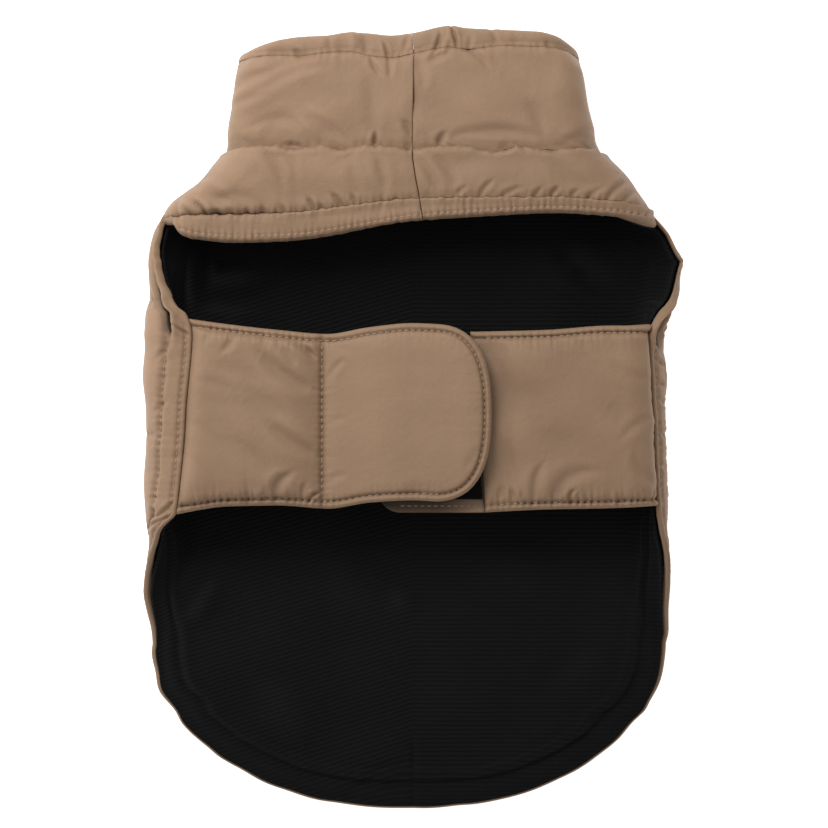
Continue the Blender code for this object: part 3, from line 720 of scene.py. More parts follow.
def side_values(station, side):
    """Reach, side radius, turn and fan angle of a rib. A station is -y, and past the tail's start it
    goes on as degrees round its fan."""
    y = -np.minimum(station, -TAIL_Y)
    left = side < 0
    reach = np.where(left, section("left", y), section("right", y))
    turn = np.radians(np.where(left, section("left_turn", y), section("right_turn", y)))
    fan = np.radians(np.maximum(station + TAIL_Y, 0))
    turn = turn * np.cos(np.minimum(fan * 2.5, math.pi / 2)) ** 2
    return reach, section("height", y) / 2, turn, fan


def rib(station, side):
    """Foot on the spine, direction, flat length, side radius and turn of a rib, seen in plan."""
    reach, radius, turn, fan = side_values(station, side)
    y = -np.minimum(station, -TAIL_Y)
    foot_y = y + (TAIL_SPINE_END - TAIL_Y) * np.sin(fan)
    power = np.where(side < 0, TAIL_ROUNDNESS[-1], TAIL_ROUNDNESS[1])
    out = np.sign(np.cos(fan)) * np.abs(np.cos(fan)) ** power
    tip = np.stack([side * reach * out, y - TAIL_LENGTH * np.sin(fan) ** power], -1)
    foot = np.stack([np.zeros_like(foot_y), foot_y], -1)
    length = np.linalg.norm(tip - foot, axis=-1)
    direction = (tip - foot) / length[..., None]
    shifts = [table_curve(FAN_SHIFTS, name, np.degrees(fan)) for name in ("left", "right")]
    length = length + np.where(side < 0, *shifts)
    flat = length - radius * np.sin(np.minimum(turn, math.pi / 2))
    return foot, direction, flat, radius, turn


def form_point(station, side, wrap):
    foot, direction, flat, radius, _ = rib(station, side)
    angle = np.clip(wrap / radius, 0, math.pi)
    over = np.maximum(wrap - math.pi * radius, 0)
    out = flat + np.minimum(wrap, 0) + radius * np.sin(angle) - over
    xy = foot + direction * out[..., None]
    return np.concatenate([xy, (radius * (1 - np.cos(angle)))[..., None]], -1)


def form(station, side, wrap):
    """Points of the outer form, and its normals, which point out of the coat."""
    station, side, wrap = np.broadcast_arrays(
        np.asarray(station, float), np.asarray(side, float), np.asarray(wrap, float)
    )
    step = FORM_STEP
    along = form_point(station + step, side, wrap) - form_point(station - step, side, wrap)
    across = form_point(station, side, wrap + step) - form_point(station, side, wrap - step)
    normal = -side[..., None] * np.cross(along, across)
    size = np.linalg.norm(normal, axis=-1, keepdims=True)
    flat = size < 1e-9
    normal = np.where(flat, np.array([0.0, 0.0, -1.0]), normal / np.where(flat, 1.0, size))
    return form_point(station, side, wrap), normal


def wrap_at(x, y, side):
    """Wrap of the place on the form's upper half that lies at x, y in plan."""
    reach, radius, _, _ = side_values(-y, side)
    inset = reach - side * x
    angle = math.pi - np.arcsin(np.clip(1 - inset / radius, 0, 1))
    return np.where(inset < radius, radius * angle, math.pi * radius + inset - radius)


def edge_wrap(station, side):
    """Wrap of the back panel's own edge."""
    _, radius, turn, _ = side_values(station, side)
    over = np.where(side < 0, section("left_over", -station), 0.0)
    return radius * turn + over


def edge_x(y, side, gap):
    """Plan x, on the form's upper half, of a line this far past the back panel's edge."""
    reach, radius, _, _ = side_values(-y, np.full_like(y, side))
    wrap = edge_wrap(-y, side) + gap
    inset = radius * (1 - np.sin(np.minimum(wrap / radius, math.pi)))
    return side * (reach - inset - np.maximum(wrap - math.pi * radius, 0))


def on_top(x, y, side):
    return form(-y, side, wrap_at(x, y, side))


# Relief of cloth


def trough(u):
    """Section of a crease: a soft trough with a low ridge on each side."""
    return -np.exp(-(u**2)) + 0.3 * np.exp(-((np.abs(u) - 1.9) ** 2) * 0.8)


def creases(x, y, table):
    """Relief of a table of creases at plan places."""
    relief = np.zeros(np.broadcast(x, y).shape)
    for x0, y0, x1, y1, bow, width, depth in table:
        length = math.hypot(x1 - x0, y1 - y0)
        dx, dy = (x1 - x0) / length, (y1 - y0) / length
        along = ((x - x0) * dx + (y - y0) * dy) / length
        across = (y - y0) * dx - (x - x0) * dy
        across = across - bow * 4 * along * (1 - along)
        past = np.maximum(np.maximum(-along, along - 1), 0) * length
        taper = np.sqrt(np.clip(4 * along * (1 - along), 0.08, 1))
        fade = np.exp(-((past / (0.9 * width)) ** 2))
        relief += depth * taper * fade * trough(across / (width * (0.55 + 0.45 * taper)))
    return relief


def puckers(along, away, seed, pitch, depth, length):
    """Relief of the folds that a stitch row draws up: round ridges between narrow troughs, which
    run together into fewer and wider ones away from the row, and lean, fade and grow as they like."""
    lean = PUCKER_LEAN * wavy(along, seed, 6 * pitch)
    long = length * (1 + 0.5 * wavy(along, seed + 1, 3.3 * pitch))
    strong = depth * (0.6 + 0.4 * wavy(along, seed + 2, 5 * pitch))
    relief = np.zeros(along.shape)
    for scale, share in PUCKER_SCALES:
        wave = wavy(along + lean * away, seed + 3 * scale, pitch * scale)
        fold = np.sqrt(wave**2 + 0.004) - 0.5
        relief += share * fold * np.exp(-((away / (long * scale / 3)) ** 1.5))
    return relief * strong


def pinches(along, away, seed, depth, length):
    """Relief of the short troughs that run out from each needle hole of a stitch row."""
    draw = np.random.default_rng(seed)
    hole = np.round(along / STITCH_PITCH)
    index = hole.astype(int) % PINCH_KINDS
    long = draw.uniform(0.5, 1.5, PINCH_KINDS)[index] * length
    strong = draw.uniform(0.5, 1.3, PINCH_KINDS)[index] * depth
    lean = draw.uniform(-0.25, 0.25, PINCH_KINDS)[index]
    across = along - hole * STITCH_PITCH + lean * away
    width = 0.5 + 0.08 * away
    return strong * (0.35 - np.exp(-((across / width) ** 2))) * np.exp(-((away / long) ** 1.3))


def seam_wiggle(x, seed):
    """How far a gathered seam strays from its line, along y."""
    return 0.3 * wavy(x, seed, 3.4) + 0.16 * wavy(x, seed + 1, 1.7)


def swell(x, y, seed, size, height):
    """Gentle unevenness of the filling: a sum of long waves that run every way."""
    draw = np.random.default_rng(seed)
    relief = np.zeros(np.broadcast(x, y).shape)
    for _ in range(SWELL_WAVES):
        angle = draw.uniform(0, math.pi)
        wave = 2 * math.pi / (size * draw.uniform(0.6, 1.8))
        relief += np.sin(wave * (x * math.cos(angle) + y * math.sin(angle)) + draw.uniform(0, 6.28))
    return relief * height / 2.6


def groove(distance, depth, width):
    return -depth * dent(distance, 0, width)


def run_length(points):
    """Length along each row of a grid, from its first column."""
    step = np.linalg.norm(np.diff(points, axis=1), axis=-1)
    return np.concatenate([np.zeros((len(points), 1)), np.cumsum(step, axis=1)], 1)


# Bodies


def grid_quads(rows, columns, start, flip):
    index = start + np.arange(rows * columns).reshape(rows, columns)
    quads = np.stack([index[:-1, :-1], index[1:, :-1], index[1:, 1:], index[:-1, 1:]], -1)
    quads = quads.reshape(-1, 4)
    return quads[:, ::-1] if flip else quads


def make_mesh(name, points, quads, materials, material_of, tints):
    """Object of a quad mesh, with the tint of each point: below 0 where shade is painted in a seam, above 0
    on a ridge.
    """
    mesh = bpy.data.meshes.new(name)
    mesh.vertices.add(len(points))
    mesh.vertices.foreach_set("co", (points * MM).ravel())
    mesh.loops.add(quads.size)
    mesh.loops.foreach_set("vertex_index", quads.ravel())
    mesh.polygons.add(len(quads))
    mesh.polygons.foreach_set("loop_start", np.arange(0, quads.size, 4))
    for material in materials:
        mesh.materials.append(material)
    mesh.polygons.foreach_set("material_index", material_of)
    for tint, values in tints.items():
        mesh.attributes.new(tint, "FLOAT", "POINT").data.foreach_set("value", values)
    mesh.update(calc_edges=True)
    body = bpy.data.objects.new(name, mesh)
    bpy.context.scene.collection.objects.link(body)
    return body


def wall_quads(rows, columns, zipped):
    """Faces of both grids of a wall, then those of the strip that joins them round the border."""
    count = rows * columns
    index = np.arange(count).reshape(rows, columns)
    border = [*index[:, 0][::-1], *index[0, 1:], *index[1:, -1]]
    if not zipped:
        border += [*index[-1, 1:-1][::-1], index[-1, 0]]
    a, b = np.array(border[:-1]), np.array(border[1:])
    strip = np.stack([a, b, b + count, a + count], -1)
    faces = grid_quads(rows, columns, 0, False), grid_quads(rows, columns, count, True)
    return np.concatenate([*faces, strip])


def joined(body):
    """The body with its doubled points merged and its faces turned outwards, shaded smooth."""
    shell = bmesh.new()
    shell.from_mesh(body.data)
    bmesh.ops.remove_doubles(shell, verts=shell.verts, dist=MERGE_DISTANCE)
    bmesh.ops.recalc_face_normals(shell, faces=shell.faces)
    shell.to_mesh(body.data)
    shell.free()
    body.data.shade_smooth()
    body.data.set_sharp_from_angle(angle=math.radians(SHARP_DEGREES))
    return body


def wall(name, outer, inner, materials, tints, zipped=False, turned=None):
    """Closed body between two grids of points. A zipped wall's last row meets itself, and the
    outer cloth is turned in over the inner face where that is set."""
    rows, columns = outer.shape[:2]
    quads = wall_quads(rows, columns, zipped)
    faces = (rows - 1) * (columns - 1)
    material_of = np.zeros(len(quads), int)
    material_of[faces : 2 * faces] = len(materials) - 1
    if turned is not None:
        material_of[faces : 2 * faces][turned[:-1, :-1].ravel()] = 0
    points = np.concatenate([outer.reshape(-1, 3), inner.reshape(-1, 3)])
    doubled = {tint: np.tile(values.ravel(), 2) for tint, values in tints.items()}
    return joined(make_mesh(name, points, quads, materials, material_of, doubled))


def padded(points, normals, thick, full, puff):
    """Outer and inner grid of a padded wall: plain inside, raised outside, thin at its edges."""
    lost = thick * (1 - full) / 2
    puff = np.maximum(puff, WALL_LEAST - thick * full)
    outer = points + normals * (puff - lost)[..., None]
    inner = points - normals * (thick - lost)[..., None]
    return outer, inner


def laid(points):
    """The points, with none of them below the surface that the coat lies on."""
    points[..., 2] = np.maximum(points[..., 2], 0.0)
    return points


def cloth_piece(replaced, outer, inner, cloths, tint, fill, **folding):
    """Padded piece in place of a CAD node."""
    body = wall(f"{replaced}_cloth", outer, inner, cloths, tints={"tint": tint}, **folding)
    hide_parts(replaced)
    return body


def seam_tint(distance, relief=0.0):
    """Colour change of the cloth: worn paler on ridges, and painted shade that is darker down in a seam, in
    a trough and most in a deep fold.
    """
    # Painted shade: the deeper a trough, the darker its cloth.
    deep = np.clip(relief + 1.6, -2, 0) * 0.8
    return -0.8 * dent(distance, 0, 0.9) + np.clip(relief, -3, 1) * 0.4 + deep


# Materials


def material_nodes(name):
    material = bpy.data.materials.new(name)
    material.use_nodes = True
    tree = material.node_tree
    return material, tree, tree.nodes["Principled BSDF"]


def link(tree, out, into):
    tree.links.new(out, into)


def node(tree, kind, values=(), **settings):
    """New node with its inputs set, or linked where the value is another node's output."""
    made = tree.nodes.new(kind)
    for key, value in settings.items():
        setattr(made, key, value)
    for key, value in dict(values).items():
        if isinstance(value, bpy.types.NodeSocket):
            tree.links.new(value, made.inputs[key])
        else:
            made.inputs[key].default_value = value
    return made


def maths(tree, operation, a, b=0.0):
    return node(tree, "ShaderNodeMath", {0: a, 1: b}, operation=operation).outputs[0]


def product(tree, first, *others):
    for other in others:
        first = maths(tree, "MULTIPLY", first, other)
    return first


def object_place(tree):
    return node(tree, "ShaderNodeTexCoord").outputs["Object"]


def attribute(tree, name):
    """A value that the mesh carries at each of its points."""
    return node(tree, "ShaderNodeAttribute", attribute_name=name).outputs["Fac"]


def noise(tree, place, size_mm, detail=3.0, roughness=0.55):
    """Noise from 0 to 1 whose patches are about this many millimetres across."""
    values = {"Vector": place, "Scale": 1000 / size_mm, "Detail": detail, "Roughness": roughness}
    return node(tree, "ShaderNodeTexNoise", values).outputs["Fac"]


def ranged(tree, value, low, high, from_low=0.0, from_high=1.0):
    values = {"Value": value, 1: from_low, 2: from_high, 3: low, 4: high}
    return node(tree, "ShaderNodeMapRange", values).outputs[0]


def woven(tree, place, pitch_mm):
    """Height of a plain weave: waves along x and y multiplied, and a weaker wave along z."""
    wave = tinted(tree, place, 2 * math.pi / (pitch_mm * MM))
    split = node(tree, "ShaderNodeSeparateXYZ", {0: wave}).outputs
    x, y, z = (maths(tree, "SINE", out) for out in split)
    return maths(tree, "ADD", product(tree, x, y), product(tree, z, 0.6))


def bumped(tree, shader, layers):
    """Bump from layers of height, each with its depth in millimetres."""
    normal = None
    for height, depth in layers:
        values = {"Height": height, "Distance": depth * MM, "Strength": 1.0}
        if normal is not None:
            values["Normal"] = normal
        normal = node(tree, "ShaderNodeBump", values).outputs["Normal"]
    link(tree, normal, shader.inputs["Normal"])


def tinted(tree, colour, amount):
    """A colour, or another vector, scaled by an amount."""
    scaled = node(tree, "ShaderNodeVectorMath", {0: colour, "Scale": amount}, operation="SCALE")
    return scaled.outputs[0]


def shell_cloth():
    """Tan nylon, down-proof and matt, with a fine weave that shows only close by."""
    material, tree, shader = material_nodes("tan_nylon")
    place = object_place(tree)
    tint = attribute(tree, "tint")
    clouds = ranged(tree, noise(tree, place, 45, 2), 0.955, 1.045)
    speckle = ranged(tree, noise(tree, place, 0.9, 2), 0.965, 1.035)
    # The tint darkens the cloth with painted shade in seams, troughs, the leg folds, the collar's left side
    # and under the flap, and pales it on worn ridges.
    wear_and_painted_shade = ranged(tree, tint, 0.14, 1.1, -7, 1)
    amount = product(tree, clouds, speckle, wear_and_painted_shade)
    link(tree, tinted(tree, SHELL_COLOUR, amount), shader.inputs["Base Color"])
    link(tree, ranged(tree, noise(tree, place, 6, 3), 0.56, 0.7), shader.inputs["Roughness"])
    shader.inputs["Specular IOR Level"].default_value = 0.3
    shader.inputs["Sheen Weight"].default_value = 0.1
    shader.inputs["Sheen Roughness"].default_value = 0.4
    shader.inputs["Sheen Tint"].default_value = (1.0, 0.86, 0.74, 1.0)
    crinkle = noise(tree, place, 3.2, 3, 0.6)
    rumple = noise(tree, place, 11, 4, 0.6)
    fine = (woven(tree, place, 0.42), 0.012), (noise(tree, place, 0.8, 2), 0.03)
    bumped(tree, shader, (*fine, (crinkle, 0.2), (rumple, 0.42)))
    return material


def lining_cloth():
    """Black fleece, knitted in ribs that lie 2 mm apart."""
    material, tree, shader = material_nodes("black_ribbed_fleece")
    place = object_place(tree)
    rib_place = attribute(tree, "rib")
    waver = ranged(tree, noise(tree, place, 14, 2), -0.5, 0.5)
    wave = product(tree, maths(tree, "ADD", rib_place, waver), math.pi)
    ribs = maths(tree, "SINE", wave)
    fluff = noise(tree, place, 0.7, 3, 0.7)
    lighter = ranged(tree, ribs, 0.7, 1.28, -1, 1)
    painted_shading = attribute(tree, "tint")
    patches = ranged(tree, noise(tree, place, 30, 3), 0.8, 1.25)
    # Painted light from the mesh: brighter along the lining's folds, darker beside them and up in the leg
    # gap.
    patches = product(tree, patches, ranged(tree, painted_shading, 0.3, 1.9, -1.75, 2.25))
    amount = product(tree, lighter, patches, ranged(tree, fluff, 0.7, 1.3))
    link(tree, tinted(tree, LINING_COLOUR, amount), shader.inputs["Base Color"])
    link(tree, ranged(tree, fluff, 0.82, 0.98), shader.inputs["Roughness"])
    shader.inputs["Specular IOR Level"].default_value = 0.12
    shader.inputs["Sheen Weight"].default_value = 0.03
    shader.inputs["Sheen Roughness"].default_value = 0.5
    bumped(tree, shader, ((ribs, 0.11), (fluff, 0.28)))
    return material


def thread_cloth():
    """Tan sewing thread, with painted shade where it goes down into a needle hole."""
    material, tree, shader = material_nodes("tan_thread")
    place = object_place(tree)
    twist = noise(tree, place, 0.35, 2)
    sunk = attribute(tree, "tint")
    # Painted shade in the needle holes, from the stitch's tint.
    amount = product(tree, ranged(tree, twist, 0.85, 1.15), ranged(tree, sunk, 0.2, 1.0, -1, 0))
    link(tree, tinted(tree, THREAD_COLOUR, amount), shader.inputs["Base Color"])
    link(tree, ranged(tree, twist, 0.45, 0.65), shader.inputs["Roughness"])
    shader.inputs["Sheen Weight"].default_value = 0.1
    bumped(tree, shader, ((twist, 0.08),))
    return material


def tape_cloth():
    """Black hook-and-loop tape: a close nap of loops."""
    material, tree, shader = material_nodes("black_loop_tape")
    place = object_place(tree)
    loops = node(tree, "ShaderNodeTexVoronoi", {"Vector": place, "Scale": 1400}).outputs["Distance"]
    patches = noise(tree, place, 4, 3)
    amount = product(tree, ranged(tree, loops, 0.5, 1.6), ranged(tree, patches, 0.8, 1.2))
    link(tree, tinted(tree, TAPE_COLOUR, amount), shader.inputs["Base Color"])
    link(tree, ranged(tree, loops, 0.7, 0.95), shader.inputs["Roughness"])
    shader.inputs["Specular IOR Level"].default_value = 0.12
    bumped(tree, shader, ((loops, 0.3),))
    return material


# Back panel and its lining


def back_stations(coarse):
    """Stations down the coat, close together at the quilt lines, and then round the tail's fan."""
    rows = SEAM_GAP - NECK_Y + spaced(NECK_Y - SEAM_GAP - TAIL_Y, coarse, both=False)
    shown = (rows[:-1] > -80) & (rows[:-1] < 55)
    rows = np.sort(np.concatenate([rows, (rows[:-1] + rows[1:])[shown] / 2]))
    near = np.array([step - line for line in QUILT_LINES for step in (-1.3, -0.6, 0.0, 0.6, 1.3)])
    rows = rows[np.min(np.abs(rows[:, None] - near), axis=1) > 0.7]
    fan = -TAIL_Y + np.linspace(0, FAN_DEGREES, round(FAN_DEGREES * 2 / coarse))[1:]
    return np.concatenate([np.sort(np.concatenate([rows, near])), fan])


def edge_slant(stations, side):
    """How much further it is in from the tail's edge along a rib than straight in."""
    sides = np.full_like(stations, side)
    ends = [form_point(at, sides, edge_wrap(at, sides))[:, :2] for at in (stations - 0.5, stations + 0.5)]
    along = ends[1] - ends[0]
    inward = rib(stations, sides)[1]
    straight = np.abs(inward[:, 0] * along[:, 1] - inward[:, 1] * along[:, 0]) / np.hypot(*along.T)
    return np.where(stations > -TAIL_Y, 1 / np.maximum(straight, 0.5), 1.0)


def edge_rag(stations, side):
    """How far the loose edge strays from its line: much beside the leg gap, little round the tail."""
    beside_leg = ramp(-stations, 46, 54) * (1 - ramp(-stations, 76, 88))
    tail = ramp(stations, 48, 60) * np.clip((FAN_DEGREES - TAIL_Y - stations) / 10, 0, 1)
    run = edge_run(stations) + SIDE_SHIFT * side
    rag = 0.6 * wavy(run, *WAVERS["leg_edge"]) + 0.35 * wavy(run, *WAVERS["leg_edge_fine"])
    return beside_leg * rag + 0.4 * tail * wavy(run, *WAVERS["tail_edge"])


def half_back(stations, side, coarse, start):
    """Distance in from the edge, and wrap, of each point of one half of the back panel."""
    _, _, flat, _, _ = rib(stations, np.full_like(stations, side))
    edge = edge_wrap(stations, side)
    hem = start + spaced(HEM_WIDTH + 4, coarse * 0.4, both=False)
    slant = edge_slant(stations, side)[:, None]
    steps = round(72 / coarse)
    share = np.interp(np.arange(1, steps + 1) / steps, [0, 0.65, 1], [0, 0.3, 1])
    reach = (flat + edge)[:, None] - hem[-1] * slant
    way = np.concatenate([hem * slant, hem[-1] * slant + reach * share], 1)
    distance = np.concatenate([np.broadcast_to(hem, (len(stations), len(hem))), hem[-1] + reach * share], 1)
    rag = edge_rag(stations, side)[:, None] * dent(distance, 0, 5)
    return distance, edge[:, None] - way + rag


def back_grid(coarse, start):
    """Station, side, wrap and distance from the edge over the whole back panel."""
    stations = back_stations(coarse)
    left, left_wrap = half_back(stations, -1, coarse, start)
    right, right_wrap = half_back(stations, 1, coarse, start)
    distance = np.concatenate([left, right[:, -2::-1]], 1)
    wrap = np.concatenate([left_wrap, right_wrap[:, -2::-1]], 1)
    side = np.ones_like(wrap)
    side[:, : left.shape[1]] = -1
    return np.broadcast_to(stations[:, None], wrap.shape), side, wrap, distance


def quilt_puff(y):
    """Relief of the quilting along the coat: high between two lines, low at each."""
    phase = (y - QUILT_LINES[0]) / QUILT_PITCH
    return np.abs(np.sin(math.pi * phase)) ** QUILT_BLUNTNESS - QUILT_BLUNTNESS


def quilt_distance(y):
    phase = (y - QUILT_LINES[0]) / QUILT_PITCH
    return np.abs(phase - np.round(phase)) * QUILT_PITCH


def edge_run(station):
    """Length along the back panel's edge, from the neck."""
    return station + 1.06 * np.maximum(station + TAIL_Y, 0)


def back_relief(station, side, wrap, distance, y):
    """Relief of the outside: quilting, hem, and the puckers that their stitches draw up."""
    raised = ramp(wrap, 3, 20)
    inside = ramp(distance, 5, 16)
    line = quilt_distance(y)
    row = np.abs(distance - HEM_WIDTH)
    relief = QUILT_PUFF * quilt_puff(y) + swell(wrap, station, *SWELLS["back"])
    relief += puckers(wrap + 400 * np.round(y / 100) + 2000 * side, line, *PUCKERS["quilt"])
    relief *= inside
    run = edge_run(station)
    edge_row = np.abs(distance - EDGE_ROW)
    sewn = 1 - ramp(y, HEM_END[1], HEM_END[1] + 8)
    shown = np.where(side < 0, 1 - ramp(y, HEM_END[-1], HEM_END[-1] + 8), sewn)
    drawn = puckers(run + SIDE_SHIFT * side, row, *PUCKERS["hem"]) + pinches(run, row, *PINCHES["hem"])
    relief += (drawn + groove(row, *GROOVES["hem"])) * shown
    drawn = puckers(run + SIDE_SHIFT * side, edge_row, *PUCKERS["edge"])
    drawn += pinches(run, edge_row, *PINCHES["edge"])
    relief += (drawn + groove(edge_row, *GROOVES["edge"])) * (1 - ramp(y, EDGE_ROW_END, EDGE_ROW_END + 5))
    hem = ramp(distance, 2.5, 5) * (1 - ramp(distance, HEM_WIDTH - 3, HEM_WIDTH))
    folds = [creases(y, distance, table) for table in (LEFT_HEM_FOLDS, RIGHT_HEM_FOLDS)]
    folds = np.where(side < 0, *folds)
    relief += 0.5 * hem * sewn + folds + leg_fold(side, y, distance)[0]
    pressed = groove(line, *GROOVES["quilt_below"]) * inside + groove(row, *GROOVES["hem_below"]) * shown
    return raised * relief + (1 - raised) * pressed


def leg_fold(side, y, distance):
    """Relief of the folds beside the leg gap, a roll of cloth and a deep trough further in from the
    edge, and the shade painted into them."""
    fold = np.zeros(y.shape)
    shade = np.zeros(y.shape)
    for way in (-1, 1):
        at = table_curve(LEG_FOLDS, place_name(way), y)
        deep = table_curve(LEG_FOLDS, f"{place_name(way)}_depth", y)
        off = distance - at
        profile = 1.8 * dent(off, -2.3, 1.5) - 3.2 * dent(off, 0.3, 0.9) - 1.5 * dent(off, 2.4, 2.2)
        fold += np.where(side == way, deep * profile, 0.0)
        # Painted shade, darkest at the trough and fading outwards.
        shade -= np.where(side == way, deep * dent(off, 0.2, np.where(off < 0, 0.6, 2.6)), 0.0)
    return fold, np.maximum(shade, -1)


def hem_thickness(distance, side, station):
    """The panel's thickness: its hem is pressed thin, and the filling starts inside it."""
    hem = HEM_THICK - 1.3 * ramp(side, 0, 1) * ramp(-station, 46, 58)
    return hem + (BACK_THICK - hem) * ramp(distance, 1, HEM_WIDTH + 6)


def back_wall(coarse, start):
    """Grid, fullness and plain inner points of the back panel."""
    station, side, wrap, distance = back_grid(coarse, start)
    points, normals = form(station, side, wrap)
    full = fullness(distance, 1.3)
    full = full + (1 - full) * 0.8 * ramp(-station, 86, 93)
    full = np.minimum(full, fullness(station + NECK_Y - SEAM_GAP))
    thick = hem_thickness(distance, side, station)
    _, inner = padded(points, normals, thick, full, np.zeros_like(full))
    return station, side, wrap, distance, points, normals, full, inner


def make_back(shell, lining):
    """The quilted panel under the coat, which turns up over both sides."""
    station, side, wrap, distance, points, normals, full, inner = back_wall(1.6, 0.0)
    relief = back_relief(station, side, wrap, distance, points[..., 1])
    outer, _ = padded(points, normals, hem_thickness(distance, side, station), full, relief)
    seams = lowest(distance, quilt_distance(points[..., 1]), np.abs(distance - HEM_WIDTH))
    # Painted shade in the folds beside the leg gap, added to the painted shade of the seams.
    shade = leg_fold(side, points[..., 1], distance)[1]
    tint = seam_tint(seams, relief) + LEG_SHADE * shade
    folding = {"zipped": True, "turned": distance < HEM_TURN}
    return cloth_piece("back_panel", laid(outer), inner, (shell, lining), tint, 0.5, **folding)


def make_lining(lining):
    """Sheet of fleece over the inside of the back panel, sewn to it along the hem."""
    station, side, wrap, distance, points, normals, _, inner = back_wall(2.3, LINING_INSET)
    x, y = points[..., 0], points[..., 1]
    loose = ramp(distance, HEM_WIDTH, 30)
    lift = 0.9 + (0.5 + swell(x, y, *SWELLS["lining"])) * loose
    folds = -creases(x, y, LINING_FOLDS) * ramp(distance, 4, 14)
    lift += folds
    hem = 1.0 * dent(distance, HEM_WIDTH + 4, 2.6) + 0.8 * dent(distance, HEM_WIDTH - 4.5, 3)
    hem -= 1.1 * dent(distance, HEM_WIDTH, 1.3)
    run = edge_run(station) + SIDE_SHIFT * side
    hem += puckers(run, np.abs(distance - HEM_WIDTH), *PUCKERS["lining"])
    lift += hem * (1 - ramp(y, 30, 50))
    lift -= 0.7 * ramp(-y, 86, 96) * dent(x, 0.3, 1.1)
    lift = (LAYER_GAP + np.maximum(lift, 0.0))[..., None]
    across = side * (rib(station, side)[2] + wrap)
    # Painted light on the lining: lighter along its raised folds and darker beside them, with painted shade
    # that darkens it up in the leg gap.
    shade = np.clip(folds, -1, 2) - ramp(y, 36, 60)
    tints = {"rib": (y - RIB_SLANT * np.minimum(across, 0))[1:], "tint": shade[1:]}
    face = (inner - normals * (lift + LINING_THICK))[1:]
    back = (inner - normals * lift)[1:]
    body = wall("back_lining_cloth", face, back, (lining,), tints, zipped=True)
    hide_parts("back_lining")
    return body


# Collar and its casing


def ring_places():
    """Run and share along it of each point round the tube, from the centre front and back to it."""
    top = spaced(FRONT_HALF, 0.6, both=False) / FRONT_HALF
    side, back = (np.linspace(0, 1, WALL_STEPS[name]) for name in ("side", "back"))
    runs = enumerate((top, side, back, side, 1 - top[::-1]))
    runs = [(run, share) for run, places in runs for share in places[:-1]]
    return np.array([*runs, (4, 1.0)])


def front_seam_x(y):
    """Plan line of the seam that runs down the centre front."""
    return table_curve(FRONT_SEAM, "x", y)


def ring_grid(low, high, levels):
    """Points and normals round the tube between two heights, which are functions of the place."""
    run, share = ring_places().T
    top_share = np.where(run == 0, 1 - share, np.where(run == 4, share, 0.0))
    level = levels[:, None]
    front = np.isin(run, (0, 4))
    side = np.where((run < 2) | ((run == 2) & (share < 0.5)), -1.0, 1.0)
    arc = np.where(run == 1, 1 - share, share)
    frontness = np.where(front, 1.0, np.where(run == 2, 0.0, ramp(arc, 0.1, 1)))
    bottom = np.abs(share - 0.5) * 2
    x = np.zeros((len(levels), len(run)))
    side = np.broadcast_to(side, x.shape)
    for _ in range(SOLVE_STEPS):
        y = low(x, frontness) * (1 - level) + high(x, frontness) * level
        _, _, flat, radius, _ = rib(-y, side)
        to_seam = flat - side * front_seam_x(y) - SEAM_GAP / 2
        wrap = np.select(
            [front, np.isin(run, (1, 3))],
            [math.pi * radius + top_share * to_seam, math.pi * radius * arc],
            -(1 - bottom) * flat,
        )
        x = form_point(-y, side, wrap)[..., 0]
    points, normals = form(-y, side, wrap)
    return points, normals, y


def neck_line(x, front):
    """Seam between the collar and the pieces below it, which arches across the front."""
    return NECK_Y + front * (table_curve(NECK_FRONT, "y", x) - NECK_Y)


def rim_front(name, x):
    return table_curve(RIM_FRONT, name, x)


def rim_seam_line(x, front):
    return RIM_BACK_Y + front * (rim_front("seam", x) - RIM_BACK_Y)


def rim_line(x, front):
    low, high = RIM_BACK_HEIGHT
    back = RIM_BACK_Y + low + (high - low) * ramp(72 - np.abs(x), 0, 30)
    return back + front * (rim_front("edge", x) - back)


def front_distance(points):
    """Distance of each point round the ring from the centre front seam, on the coat's front."""
    across = np.abs(points[..., 0] - front_seam_x(points[..., 1]))
    return np.where(points[..., 2] > FRONT_HEIGHT, across, FAR)


def ring_creases(points, table, aside):
    """Creases of a table on the front, and the same ones below it, mirrored, moved aside and at half
    strength, which fade out towards the surface."""
    front = ramp(points[..., 2], 16, 28)
    shown = creases(points[..., 0], points[..., 1], table)
    behind = creases(-0.94 * points[..., 0] + aside, points[..., 1], table)
    return front * shown + 0.5 * (1 - front) * behind * ramp(points[..., 2], 1, 6)


def pockets(points, away):
    """Relief of the pockets along the neck seam, over the coat's front."""
    deep = sum(depth * dent(points[..., 0], at, width) for at, width, depth in NECK_POCKETS)
    return -deep * dent(away, 0, 3.2) * ramp(points[..., 2], 20, 30)


def rim_shade_gaps(x):
    """How far, in millimetres, the painted shade of the rim's seam is moved off it, so that its dark line
    comes and goes.
    """
    return np.maximum(1.2 * wavy(x, *WAVERS["rim_seam"]) + 0.3, 0)


def side_fill(normals):
    """Filling that squares the collar's sides above, between its flat top and its sides."""
    return 3.6 * (2 * normals[..., 0] * np.maximum(normals[..., 2], 0)) ** 2


